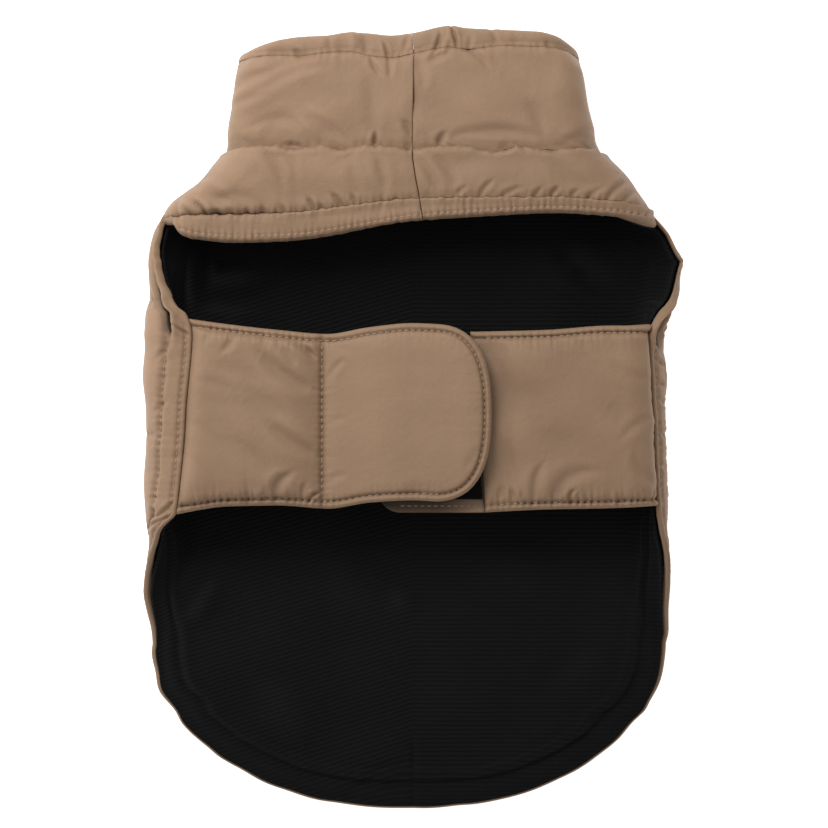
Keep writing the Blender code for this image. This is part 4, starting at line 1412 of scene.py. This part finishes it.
def make_collar(shell, lining):
    """The padded stand collar, one strip whose ends meet at the centre front."""
    low, high = shifted(neck_line, SEAM_GAP / 2), shifted(rim_seam_line, -SEAM_GAP / 2)
    points, normals, y = ring_grid(low, high, shares(*GRIDS["collar_height"]))
    along = run_length(points)
    up, down = y - y[:1], y[-1:] - y
    to_edge = np.minimum(up, down)
    to_front = front_distance(points)
    raised = ramp(points[..., 2], 1, 16)
    lip = 0.6 * rise(down, 1.6) + 0.4 * rise(down, 8)
    dome = (0.8 + 0.2 * ramp(up, -2, 14)) * (0.5 + 0.5 * lip)
    puff = COLLAR_PUFF * dome * (0.86 + 0.14 * ramp(to_front, 0, 5))
    puff += swell(along, y, *SWELLS["collar"]) * ramp(to_edge, 1, 10)
    puff += puckers(along, up, *PUCKERS["neck"]) + puckers(along, down, *PUCKERS["rim"])
    puff += 1.5 * ring_creases(points, COLLAR_CREASES, COLLAR_ASIDE)
    puff += 1.3 * ring_creases(points, RIM_CREASES, RIM_ASIDE)
    puff += pockets(points, up)
    sideways = ramp(np.abs(normals[..., 0]), 0.4, 0.9)
    puff *= 1 - sideways * (0.3 + 0.5 * ramp(-down, -20, -3) + 0.5 * ramp(-up, -12, 0))
    puff += side_fill(normals) * ramp(to_edge, -2, 8)
    puff = puff * raised + groove(to_edge, *GROOVES["collar_below"]) * (1 - raised)
    full = lowest(0.86 + 0.14 * ramp(up, 0, 4), fullness(to_front, 0.5, 0.85), 1 - 0.1 * dent(down, 0, 1.2))
    outer, inner = padded(points, normals, COLLAR_THICK, full, puff)
    outer[..., 1] += seam_wiggle(points[..., 0], NECK_STRAY) * dent(up, 0, 3) * raised
    # Painted shade: along the seams, broken in places and kept off the sides, and darker on the side that
    # faces left.
    seams = np.minimum(to_edge + 3 * sideways + rim_shade_gaps(points[..., 0]), to_front)
    painted_shading = ramp(-normals[..., 0], 0.25, 0.8)
    tint = seam_tint(seams, puff - COLLAR_PUFF * dome) - 1.2 * painted_shading
    return cloth_piece("collar", laid(outer), inner, (shell, lining), tint, 0.6)


def make_casing(shell, lining):
    """The gathered casing on the collar's rim."""
    low = shifted(rim_seam_line, SEAM_GAP / 2)
    points, normals, y = ring_grid(low, rim_line, shares(*GRIDS["casing_height"]))
    along = run_length(points)
    up, down = y - y[:1], y[-1:] - y
    to_edge = np.minimum(up, down)
    raised = ramp(points[..., 2], 1, 16)
    puff = 0.9 - 0.4 * ramp(up, 3, 9) + groove(up - CASING_ROW, *GROOVES["casing"])
    puff += puckers(along, up, *PUCKERS["casing"]) + swell(along, y, *SWELLS["casing"])
    puff += 1.1 * ring_creases(points, RIM_CREASES, RIM_ASIDE)
    puff *= raised * (1 - 0.8 * ramp(np.abs(normals[..., 0]), 0.4, 0.9))
    puff += side_fill(normals) * 0.1
    full = np.minimum(fullness(down, 3.6), fullness(front_distance(points), 0.5, 0.85))
    outer, inner = padded(points, normals, COLLAR_THICK, full, puff)
    drop = -0.9 * np.minimum(ring_creases(points, RIM_CREASES, RIM_ASIDE), 0.5) * up / (up + down)
    outer[..., 1] -= drop
    inner[..., 1] -= drop
    tint = seam_tint(to_edge + rim_shade_gaps(points[..., 0]), puff - 1)
    return cloth_piece("collar_casing", laid(outer), inner, (shell, lining), tint, 0.4)


# Chest


def chest_grid(side, upper, lower, levels):
    """Points between two lines across the chest, from the side seam in to the front seam."""
    share = shares(*GRIDS["chest_width"])
    level = levels[:, None]
    x = side * 80.0 * (1 - share) * np.ones_like(level)
    y = np.full_like(x, 100.0)
    for _ in range(SOLVE_STEPS):
        y = upper(x) * (1 - level) + lower(x) * level
        seam = front_seam_x(y) + side * SEAM_GAP / 2
        x = edge_x(y, side, SEAM_GAP) * (1 - share) + seam * share
    return x, y


def chest_neck_line(x):
    return neck_line(x, 1) - SEAM_GAP / 2


def chest_seam_line(x):
    return table_curve(CHEST_HEM, "seam", x)


def chest_edge_line(x):
    return table_curve(CHEST_HEM, "edge", x)


def hem_seam_fullness(distance, x, width):
    """The seam between chest and hem lies almost level, but gapes towards the left leg."""
    gape = ramp(-x + 6 * wavy(x, *WAVERS["chest_gape"]), 52, 74)
    return fullness(distance, width, 0.95 + 0.04 * wavy(x, *WAVERS["chest_join"]) - 0.7 * gape)


def make_chest(side, shell, lining):
    """One padded chest panel, gathered onto its hem."""
    piece = f"chest_{place_name(side)}"
    lower = shifted(chest_seam_line, SEAM_GAP / 2)
    x, y = chest_grid(side, chest_neck_line, lower, shares(*GRIDS["chest_height"]))
    points, normals = on_top(x, y, side)
    up, down = y - y[-1:], y[:1] - y
    to_front = np.abs(x - x[:, -1:])
    to_side = np.abs(x - x[:, :1]) + SEAM_LIP
    to_edge = np.minimum(up, down)
    along = run_length(points)
    dome = 0.38 + 0.17 * ramp(up, -1, 4) + 0.45 * np.clip(up / 24, 0, 1)
    dome = (0.75 + 0.25 * ramp(down, -1, 3)) * dome
    puff = CHEST_PUFF * dome * ramp(to_side, -8, 12) * (0.9 + 0.1 * ramp(to_front, 0, 4))
    puff += swell(x, y, *SWELLS[piece]) * ramp(to_edge, 1, 8)
    drawn = 0.9 + 0.9 * ramp(-x + 8 * wavy(x, *WAVERS["chest_gathers"]), 40, 62)
    drawn += 0.5 * dent(x, 80, 16)
    drawn -= 0.45 * ramp(x, -5, 20)
    at_neck = puckers(along, down, *PUCKERS[f"chest_neck_{place_name(side)}"])
    puff += drawn * puckers(x, up, *PUCKERS["chest_seam"]) + at_neck
    puff += 1.35 * creases(x, y, CHEST_CREASES) * ramp(to_side, 2, 8)
    full = lowest(fullness(down, 2.2, 0.5), hem_seam_fullness(up, x, 3))
    full = lowest(full, fullness(to_front, 0.5, 0.7), fullness(to_side, 0.8, 0.8))
    outer, inner = padded(points, normals, CHEST_THICK, full, puff)
    lip = np.clip(1 - sum(dent(x, at, width) for at, width, _ in NECK_POCKETS), 0, 1)
    outer[..., 1] += seam_wiggle(x, NECK_STRAY) * dent(down, 0, 3) + 0.7 * lip * dent(down, 1.1, 1.5)
    outer[..., 1] += seam_wiggle(x, CHEST_STRAY) * dent(up, 0, 3)
    tint = seam_tint(np.minimum(to_edge, to_front), puff - CHEST_PUFF * dome)
    return cloth_piece(piece, outer, inner, (shell, lining), tint, 0.7)


def make_chest_hem(side, shell, lining):
    """One half of the gathered casing along the chest's lower edge."""
    upper = shifted(chest_seam_line, -SEAM_GAP / 2)
    x, y = chest_grid(side, upper, chest_edge_line, shares(*GRIDS["casing_height"]))
    points, normals = on_top(x, y, side)
    up, down = y - y[-1:], y[:1] - y
    to_edge = np.minimum(up, down)
    to_front = np.abs(x - x[:, -1:])
    to_side = np.abs(x - x[:, :1]) + SEAM_LIP
    row = np.abs(up - HEM_ROW)
    proud = 1.3 * (1 - ramp(-x, 48, 66)) * rise(down, 0.5) * dent(down, 0.4, 2.0)
    gathers = puckers(x, down, *PUCKERS["chest_hem"]) * (1 - 0.4 * ramp(x, -5, 20))
    puff = (1.1 + proud) * ramp(up, 0, 2.5) + gathers
    puff += pinches(x, row, *PINCHES["chest_hem"]) + groove(row, *GROOVES["chest_hem"])
    full = lowest(fullness(up, 2.4), hem_seam_fullness(down, x, 1.6))
    full = lowest(full, fullness(to_front, 0.5, 0.7), fullness(to_side))
    outer, inner = padded(points, normals, BAND_THICK, full, puff)
    outer[..., 1] += seam_wiggle(x, CHEST_STRAY) * dent(down, 0, 3) + 0.5 * dent(down, 0.8, 1.0)
    outer[..., 1] += 0.8 * seam_wiggle(x, CHEST_HEM_STRAY) * dent(up, 0, 2)
    tint = seam_tint(np.minimum(to_edge, to_front), puff - 1)
    return cloth_piece(f"chest_hem_{place_name(side)}", outer, inner, (shell, lining), tint, 0.4)


# Belly band


def band_line(table, name, x):
    return table_curve(table, name, x)


def left_seam_x(y):
    """Plan line of the seam between the band and the back panel's hem, on the left."""
    return edge_x(y, -1, SEAM_GAP)


def flap_corner(turn, upper):
    """Points of the flap's round end, from the straight edge at 0 degrees to its tip at 90."""
    power = 2 / FLAP_POWER
    x = FLAP_START_X + FLAP_REACH * np.sin(turn) ** power
    top, bottom = band_line(LEFT_BAND, "top", x), band_line(LEFT_BAND, "bottom", x)
    half = (top - bottom) / 2 * np.cos(turn) ** power
    return np.stack([x, (top + bottom) / 2 + (half if upper else -half)], -1)


def left_band_edge(upper):
    """Upper or lower edge of the left band, from its seam to the middle of the flap's corner."""
    name = "top" if upper else "bottom"
    start = left_seam_x(np.array([42.0 if upper else -42.0]))[0]
    x = np.linspace(start, FLAP_START_X, 160)[:-1]
    straight = np.stack([x, band_line(LEFT_BAND, name, x)], -1)
    return np.concatenate([straight, flap_corner(np.linspace(0, math.pi / 4, 60), upper)])


def flap_end():
    """The flap's end, from the middle of its lower corner to the middle of its upper one."""
    turn = np.linspace(math.pi / 4, math.pi / 2, 80)
    return np.concatenate([flap_corner(turn, False), flap_corner(turn[::-1], True)[1:]])


def left_end(bottom, top):
    y = np.linspace(bottom[0, 1], top[0, 1], 60)
    return np.stack([left_seam_x(y), y], -1)


def walked(line, at):
    """Points at these shares of a line's length."""
    run = run_of(line)
    return np.stack([np.interp(at * run[-1], run, line[:, k]) for k in (0, 1)], -1)


def filled(bottom, top, left, right, across, up):
    """Grid of plan points between four edges, at shares across and up (a Coons patch)."""
    u, v = across[None, :, None], up[:, None, None]
    low, high = walked(bottom, across)[None], walked(top, across)[None]
    start, end = walked(left, up)[:, None], walked(right, up)[:, None]
    corners = (1 - u) * ((1 - v) * bottom[0] + v * top[0]) + u * ((1 - v) * bottom[-1] + v * top[-1])
    return (1 - v) * low + v * high + (1 - u) * start + u * end - corners


def run_of(line):
    return np.concatenate([[0.0], np.cumsum(np.linalg.norm(np.diff(line, axis=0), axis=1))])


def nearest(x, y, line):
    """Distance of each place from a line, and how far along the line that is."""
    places = np.stack([x.ravel(), y.ravel()], -1)
    start, ahead = line[:-1], np.diff(line, axis=0)
    size = np.sum(ahead**2, axis=1)
    best, along = np.full(len(places), np.inf), np.zeros(len(places))
    for begin, way, square, run in zip(start, ahead, size, run_of(line)):
        share = np.clip((places - begin) @ way / square, 0, 1)
        gap = np.hypot(*(places - begin - share[:, None] * way).T)
        closer = gap < best
        best[closer] = gap[closer]
        along[closer] = run + share[closer] * math.sqrt(square)
    return best.reshape(x.shape), along.reshape(x.shape)


def left_band_lines():
    bottom, top, end = left_band_edge(False), left_band_edge(True), flap_end()
    return bottom, top, left_end(bottom, top), end


def left_band_outline():
    bottom, top, _, end = left_band_lines()
    outline = np.concatenate([bottom, end[1:-1], top[::-1]])
    return walked(outline, np.linspace(0, 1, 300))


def band_dome(inside, y):
    """How far the band's filling has risen this far inside its stitch row: sooner near its top."""
    steep = 0.55 + 0.3 * ramp(y, 0, 20)
    return steep * rise(inside, 1.6) + (1 - steep) * rise(inside, 8)


def left_body_puff(x, y, to_edge, to_seam):
    """Filling of the left band's padded part, which slopes down to the line where the flap starts."""
    to_flap = QUILT_X + 0.5 - x
    slope = 0.1 * rise(to_flap, 2) + 0.75 * rise(to_flap, 10) + 0.15 * rise(to_flap, 30)
    puff = 1.8 * BAND_PUFF * band_dome(to_edge - BAND_ROW, y)
    return puff * (rise(to_seam, 5) * slope) + 0.8 * dent(to_edge, 1.4, 1.3)


def flap_puff(x, inside):
    return 1.9 * rise(x - QUILT_X, 3.5) * (0.55 * rise(inside, 1.4) + 0.45 * rise(inside, 9))


def left_band_puff(x, y, along, to_edge, body_puff, flap):
    """Relief of the left band: its filling, and what its stitch row and the flap's line draw up."""
    row, to_line = np.abs(to_edge - BAND_ROW), np.abs(x - QUILT_X)
    band = 1 - ramp(x, QUILT_X - 2, QUILT_X + 8)
    upper = ramp(y, 0, 20)
    puff = body_puff + flap_puff(x, to_edge - BAND_ROW)
    puff = puff + swell(x, y, *SWELLS["left_band"]) * ramp(to_edge, 2, 12)
    puff += puckers(along, row, *PUCKERS["left_band"]) * (0.3 + 0.7 * band) * (1 - 0.5 * upper)
    low = (0.4 + 0.6 * band) * (1 - 0.4 * upper)
    puff += pinches(along, row, *PINCHES["left_band"]) * low + pinches(y, to_line, *PINCHES["flap_line"])
    puff += puckers(y, to_line, *PUCKERS["flap_line"])
    puff += groove(row, *GROOVES["band"]) + groove(x - QUILT_X, *GROOVES["flap_line"])
    return puff + (1.35 * creases(x, y, LEFT_BAND_CREASES) * band + creases(x, y, FLAP_CREASES) * flap)


def make_left_band(shell, lining):
    """The band's left half: a padded part, and the flatter flap that lies over the tab."""
    bottom, top, start, end = left_band_lines()
    across, up = shares(*GRIDS["left_band_width"]), shares(*GRIDS["left_band_height"])
    grid = filled(bottom, top, start, end, across, up)
    x, y = grid[..., 0], grid[..., 1]
    points, normals = on_top(x, y, -1)
    to_edge, along = nearest(x, y, left_band_outline())
    to_seam = nearest(x, y, start)[0] + SEAM_LIP
    flap = ramp(x, QUILT_X - 3, QUILT_X + 10)
    lift = FLAP_LIFT * ramp(x, QUILT_X - 3, QUILT_X + 38) + 2.4 * ramp(x, 0, 32)
    thick = BAND_THICK + (FLAP_THICK - BAND_THICK) * flap
    full = np.minimum(fullness(to_edge, 3), fullness(to_seam))
    body_puff = left_body_puff(x, y, to_edge, to_seam)
    puff = left_band_puff(x, y, along, to_edge, body_puff, flap)
    outer, inner = padded(points + normals * lift[..., None], normals, thick, full, puff)
    seams = lowest(np.abs(to_edge - BAND_ROW), np.abs(x - QUILT_X), to_seam)
    tint = seam_tint(seams, puff - body_puff)
    return cloth_piece("belly_band_left", outer, inner, (shell, lining), tint, 0.5)


def right_start_x(y):
    """Plan line of the right band's seam to the tab, which slants."""
    (top_x, top_y), (bottom_x, bottom_y) = RIGHT_START_TOP, RIGHT_START_BOTTOM
    return bottom_x + (top_x - bottom_x) * (y - bottom_y) / (top_y - bottom_y)


def right_band_grid():
    share = shares(*GRIDS["right_band_width"])
    up = shares(*GRIDS["right_band_height"])[:, None]
    x = 30 + 80 * share + 0 * up
    for _ in range(SOLVE_STEPS):
        low, high = band_line(RIGHT_BAND, "bottom", x), band_line(RIGHT_BAND, "top", x)
        y = low * (1 - up) + high * up
        start, end = right_start_x(y), edge_x(y, 1, SEAM_GAP)
        x = start + (end - start) * share
    return x, y, end


def make_right_band(shell, lining):
    """The band's padded right half."""
    x, y, end = right_band_grid()
    points, normals = on_top(x, y, 1)
    to_edge = np.minimum(y - y[:1], y[-1:] - y)
    to_start = x - x[:, :1]
    to_seam = np.abs(end - x) + SEAM_LIP
    row = np.abs(to_edge - BAND_ROW)
    full = lowest(fullness(to_edge, 3), fullness(to_seam), fullness(to_start))
    dome = BAND_PUFF * band_dome(to_edge - BAND_ROW, y)
    dome = dome * rise(to_seam, 4) * rise(to_start - 12, 7) + 0.7 * dent(to_edge, 1.4, 1.3)
    puff = dome + swell(x, y, *SWELLS["right_band"]) * ramp(to_edge, 2, 12)
    upper = ramp(y, 0, 20)
    puff += puckers(x, row, *PUCKERS["right_band"]) * (1 - 0.6 * upper) + groove(row, *GROOVES["band"])
    puff += pinches(x + ROW_SHIFT * (y > 0), row, *PINCHES["right_band"]) * (1 - 0.5 * upper)
    puff += puckers(y, to_seam, *PUCKERS["right_seam"]) + creases(x, y, RIGHT_BAND_CREASES)
    outer, inner = padded(points, normals, BAND_THICK, full, puff)
    tint = seam_tint(np.minimum(row, to_seam), puff - dome)
    return cloth_piece("belly_band_right", outer, inner, (shell, lining), tint, 0.5)


def rounded_half(height, corner, inside):
    """Half the height of a piece with round corners, this far in from its end."""
    inset = np.clip(corner - inside, 0, corner)
    return height / 2 - corner + np.sqrt(corner**2 - inset**2 + 1e-9)


def covered_shade(x, y, end):
    """Painted shadow of the flap on a flat piece: darker towards its left end under the flap and away from
    its lower edge, with painted shade in the seam at its end.
    """
    painted_flap_shadow = 4.8 - 4.8 * ramp(x, 10, 30)
    return painted_flap_shadow + 2.2 * ramp(y, -43, -38) + 5.0 * dent(end(y) - x, 0, 0.9)


def flat_piece(name, start, end, y_range, depth, thick, corner, material, relief):
    """Flat piece this deep under the band's surface, with round corners at its left end. Its right
    end is a plan line."""
    height = y_range[1] - y_range[0]
    share = shares(*GRIDS["tab_width"])
    across = (shares(height, 1.0) * 2 - 1)[:, None]
    y = sum(y_range) / 2 + height / 2 * across + 0 * share
    for _ in range(SOLVE_STEPS - 1):
        x = start + (end(y) - start) * share
        half = rounded_half(height, corner, x - start)
        y = sum(y_range) / 2 + half * across
    points, normals = on_top(x, y, 1)
    to_edge = half * (1 - np.abs(across))
    raised = relief(x, y, to_edge) - 0.35 * (1 - fullness(to_edge, 0.8))
    outer = points - normals * (depth - raised)[..., None]
    inner = points - normals * (depth + thick)
    # Painted shade of the seams and painted shadow of the flap.
    tints = {"tint": seam_tint(to_edge) - covered_shade(x, y, end)}
    body = wall(f"{name}_cloth", outer, inner, (material,), tints)
    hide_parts(name)
    return body


def tab_relief(x, y, to_edge):
    row = np.abs(to_edge - FLAP_ROW)
    return groove(row, *GROOVES["tab"]) + puckers(x, row, *PUCKERS["tab"])


def nap_relief(x, y, to_edge):
    return swell(x, y, *SWELLS["nap"])


def tab_end(y):
    return right_start_x(y) - SEAM_GAP


def loop_end(y):
    return right_start_x(y) - LOOP_GAP


def hook_end(y):
    return np.full_like(y, HOOK_X[1])


def make_closure(shell, tape):
    """The tab under the flap, the loop tape on it, and the hook tape that the flap presses down."""
    tab_size = (TAB_Y, TAB_DEPTH, TAB_THICK, TAB_CORNER)
    tab = flat_piece("band_tab", TAB_START_X, tab_end, *tab_size, shell, tab_relief)
    depth = TAB_DEPTH - LAYER_GAP - PATCH_THICK
    loop_size = (LOOP_Y, depth, PATCH_THICK, PATCH_CORNER)
    loop = flat_piece("loop_patch", LOOP_START_X, loop_end, *loop_size, tape, nap_relief)
    depth -= LAYER_GAP + PATCH_THICK
    hook_size = (HOOK_Y, depth, PATCH_THICK, PATCH_CORNER)
    hook = flat_piece("hook_patch", HOOK_X[0], hook_end, *hook_size, tape, nap_relief)
    return tab, loop, hook


# Stitching


def tree_of(body):
    mesh = body.data
    return BVHTree.FromPolygons([v.co for v in mesh.vertices], [p.vertices for p in mesh.polygons])


def dropped(tree, run, points, normals):
    """Run, place on a body's outside, and the way out there, under each point of a row."""
    hits = []
    for at, point, normal in zip(run, points, normals):
        out = Vector(normal)
        above = Vector(point * MM) + out * RAY_REACH * MM
        place, _, _, _ = tree.ray_cast(above, -out, 2 * RAY_REACH * MM)
        if place is not None:
            hits.append((at, *(np.array(place) / MM), *normal))
    return np.array(hits)


def stitch_part(name):
    return column(STITCH, name)


def stitch_rings(hits, sunk):
    """Rings of all the stitches of one row: a needle hole at each whole pitch of its run."""
    run = hits[:, 0]
    starts = np.arange(math.ceil(run[0] / STITCH_PITCH) + 1, math.floor(run[-1] / STITCH_PITCH))
    thick, height = stitch_part("radius"), stitch_part("height") - sunk
    at = starts[:, None] * STITCH_PITCH + stitch_part("along")
    centre = np.stack([np.interp(at, run, hits[:, k]) for k in (1, 2, 3)], -1)
    up = unit(np.stack([np.interp(at, run, hits[:, k]) for k in (4, 5, 6)], -1))
    aside = unit(np.cross(unit(np.gradient(centre, axis=1)), up))
    centre = centre + up * height[:, None]
    turn = np.linspace(0, 2 * math.pi, STITCH_SIDES + 1)[:-1]
    ring = aside[:, :, None] * np.cos(turn)[:, None] + up[:, :, None] * np.sin(turn)[:, None]
    return centre[:, :, None] + ring * thick[:, None, None]


def stitch_quads(count, rounds):
    """Faces of all the stitches of a body: the tubes, then their two ends."""
    base = np.arange(count)[:, None, None] * rounds * STITCH_SIDES
    ring = np.arange(rounds - 1)[None, :, None] * STITCH_SIDES
    k = np.arange(STITCH_SIDES)
    a, b = base + ring + k, base + ring + (k + 1) % STITCH_SIDES
    quads = [np.stack([a, b, b + STITCH_SIDES, a + STITCH_SIDES], -1).reshape(-1, 4)]
    caps = [base[:, 0, 0] + end * (rounds - 1) * STITCH_SIDES for end in (0, 1)]
    for orders in CAP_QUADS:
        quads += [start[:, None] + np.array(order) for start, order in zip(caps, orders)]
    return np.concatenate(quads)


def make_stitches(name, body, rows, thread, sunk):
    """Threads of all the rows sewn into one body."""
    tree = tree_of(body)
    rings = np.concatenate([stitch_rings(dropped(tree, *row), sunk) for row in rows])
    count, rounds = rings.shape[:2]
    quads = stitch_quads(count, rounds)
    # Painted shade of the needle holes.
    tints = {"tint": np.tile(np.repeat(stitch_part("tint"), STITCH_SIDES), count)}
    material_of = np.zeros(len(quads), int)
    piece = make_mesh(name, rings.reshape(-1, 3), quads, (thread,), material_of, tints)
    piece.data.shade_smooth()
    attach(piece, "root")
    return piece


def quilt_row(line):
    """Stitch row of one quilt line, from the left hem to the right one."""
    halves = []
    for side in (-1, 1):
        station, sides = np.array([-line]), np.array([side])
        flat = rib(station, sides)[2][0]
        reach = edge_wrap(station, sides)[0] - HEM_WIDTH
        wrap = np.linspace(-flat, reach, round((reach + flat) / 0.8))
        halves.append(form(-line, side, wrap[::side]))
    points, normals = (np.concatenate(pair) for pair in zip(*halves))
    return run_of(points), points, normals


def back_rows():
    """Stitch rows of the back panel: both rows of its hem, and the quilt lines."""
    rows = []
    stations = np.arange(1.0 - NECK_Y, -TAIL_Y + FAN_DEGREES, 0.5)
    run = edge_run(stations)
    for side in (-1, 1):
        edge = edge_wrap(stations, np.full_like(stations, side))
        inner = stations > -HEM_END[side]
        row = edge - HEM_WIDTH * edge_slant(stations, side)
        rows.append((run[inner], *form(stations[inner], side, row[inner])))
        upper = (stations > -EDGE_ROW_END) & (stations < 75)
        rows.append((run[upper], *form(stations[upper], side, edge[upper] - EDGE_ROW)))
    return rows + [quilt_row(line) for line in QUILT_LINES]


def plan_row(run, x, y, side):
    """A stitch row along a plan line, on the form's upper half."""
    return run, *on_top(x, y, side)


def offset_line(line, inset):
    """A plan line moved to its left by this much."""
    ahead = unit(np.gradient(line, axis=0))
    return line + inset * np.stack([-ahead[:, 1], ahead[:, 0]], -1)


def left_band_rows():
    outline = left_band_outline()
    row = offset_line(outline, BAND_ROW)
    y = np.linspace(-37.5, 35.5, 120)
    across = plan_row(y, np.full_like(y, QUILT_X), y, -1)
    return [plan_row(run_of(outline), row[:, 0], row[:, 1], -1), across]


def right_band_rows():
    x = np.linspace(RIGHT_START_TOP[0], 112, 150)
    rows = []
    for name, way in (("bottom", 1), ("top", -1)):
        y = band_line(RIGHT_BAND, name, x) + way * BAND_ROW
        inside = (x < edge_x(y, 1, 0.0) - 1) & (x > right_start_x(y) + 1)
        rows.append(plan_row(x[inside] + ROW_SHIFT * (y[inside] > 0), x[inside], y[inside], 1))
    return rows


def chest_hem_rows(side):
    x = np.linspace(-112, 112, 400)
    y = chest_edge_line(x) + HEM_ROW
    inside = side * x < side * edge_x(y, side, 0.0) - 1
    inside &= side * (x - front_seam_x(y)) > 1.2
    return [plan_row(x[inside], x[inside], y[inside], side)]


def casing_rows():
    line = shifted(rim_seam_line, CASING_ROW)
    points, normals, _ = ring_grid(line, line, np.array([0.0, 1.0]))
    return [(run_of(points[0]), points[0], normals[0])]


def tab_rows():
    x = np.linspace(TAB_START_X + 6, RIGHT_START_BOTTOM[0] - 1.0, 60)
    half = rounded_half(TAB_Y[1] - TAB_Y[0], TAB_CORNER, x - TAB_START_X)
    return [plan_row(x, x, sum(TAB_Y) / 2 - half + FLAP_ROW, 1)]


# Stage


def make_floor():
    """Pale plain floor, just below the coat, which glows so that the coat's shadow on it is washed out and
    the coat is lit from below.
    """
    edge = np.linspace(-FLOOR_REACH, FLOOR_REACH, FLOOR_LINES)
    x, y = np.meshgrid(edge, edge)
    points = np.stack([x, y, np.full_like(x, -FLOOR_DROP)], -1).reshape(-1, 3)
    material, tree, shader = material_nodes("pale_floor")
    place = object_place(tree)
    tone = ranged(tree, noise(tree, place, 300, 2), 0.99, 1.0)
    link(tree, tinted(tree, FLOOR_COLOUR, tone), shader.inputs["Base Color"])
    shader.inputs["Roughness"].default_value = 0.9
    # The glow is painted light: it fills the coat's shadow on the floor.
    shader.inputs["Emission Color"].default_value = WHITE
    shader.inputs["Emission Strength"].default_value = FLOOR_GLOW
    quads = grid_quads(FLOOR_LINES, FLOOR_LINES, 0, False)
    floor = make_mesh("floor", points, quads, (material,), np.zeros(len(quads), int), {})


def area_light(name, place, size, power):
    light = bpy.data.lights.new(name, "AREA")
    light.shape = "DISK"
    light.size = size
    light.energy = power
    lamp = bpy.data.objects.new(name, light)
    lamp.location = place
    lamp.rotation_euler = (Vector(LIGHT_AIM) - Vector(place)).to_track_quat("-Z", "Y").to_euler()
    bpy.context.scene.collection.objects.link(lamp)


def make_camera():
    data = bpy.data.cameras.new("camera")
    data.sensor_width = SENSOR
    data.lens = SENSOR * PHOTO_DISTANCE / PHOTO_WIDTH
    data.clip_start, data.clip_end = CLIP_RANGE
    camera = bpy.data.objects.new("camera", data)
    camera.location = CAMERA_PLACE
    bpy.context.scene.collection.objects.link(camera)
    bpy.context.scene.camera = camera


def make_light():
    world = bpy.data.worlds.new("studio")
    world.use_nodes = True
    background = world.node_tree.nodes["Background"]
    background.inputs["Color"].default_value = WHITE
    background.inputs["Strength"].default_value = WORLD_STRENGTH
    bpy.context.scene.world = world
    bpy.context.scene.view_settings.view_transform = "Standard"
    for name, settings in LIGHTS.items():
        area_light(name, *settings)


def make_coat():
    """All cloth of the coat, and the stitches in it."""
    shell, lining = shell_cloth(), lining_cloth()
    thread, tape = thread_cloth(), tape_cloth()
    back, fleece = make_back(shell, lining), make_lining(lining)
    collar, casing = make_collar(shell, lining), make_casing(shell, lining)
    chests = [make_chest(side, shell, lining) for side in (-1, 1)]
    hems = [make_chest_hem(side, shell, lining) for side in (-1, 1)]
    left, right = make_left_band(shell, lining), make_right_band(shell, lining)
    tab, loop, hook = make_closure(shell, tape)
    for body in (back, fleece, collar, casing, *chests, *hems, left, right, tab, loop, hook):
        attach(body, "root")
    make_stitches("back_stitches", back, back_rows(), thread, SUNK["back"])
    make_stitches("casing_stitches", casing, casing_rows(), thread, SUNK["casing"])
    for side, hem in zip((-1, 1), hems):
        name = f"chest_hem_{place_name(side)}_stitches"
        make_stitches(name, hem, chest_hem_rows(side), thread, SUNK["chest_hem"])
    make_stitches("belly_band_left_stitches", left, left_band_rows(), thread, SUNK["band"])
    make_stitches("belly_band_right_stitches", right, right_band_rows(), thread, SUNK["band"])
    make_stitches("band_tab_stitches", tab, tab_rows(), thread, SUNK["tab"])


def main():
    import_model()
    make_coat()
    make_floor()
    make_light()
    make_camera()


main()
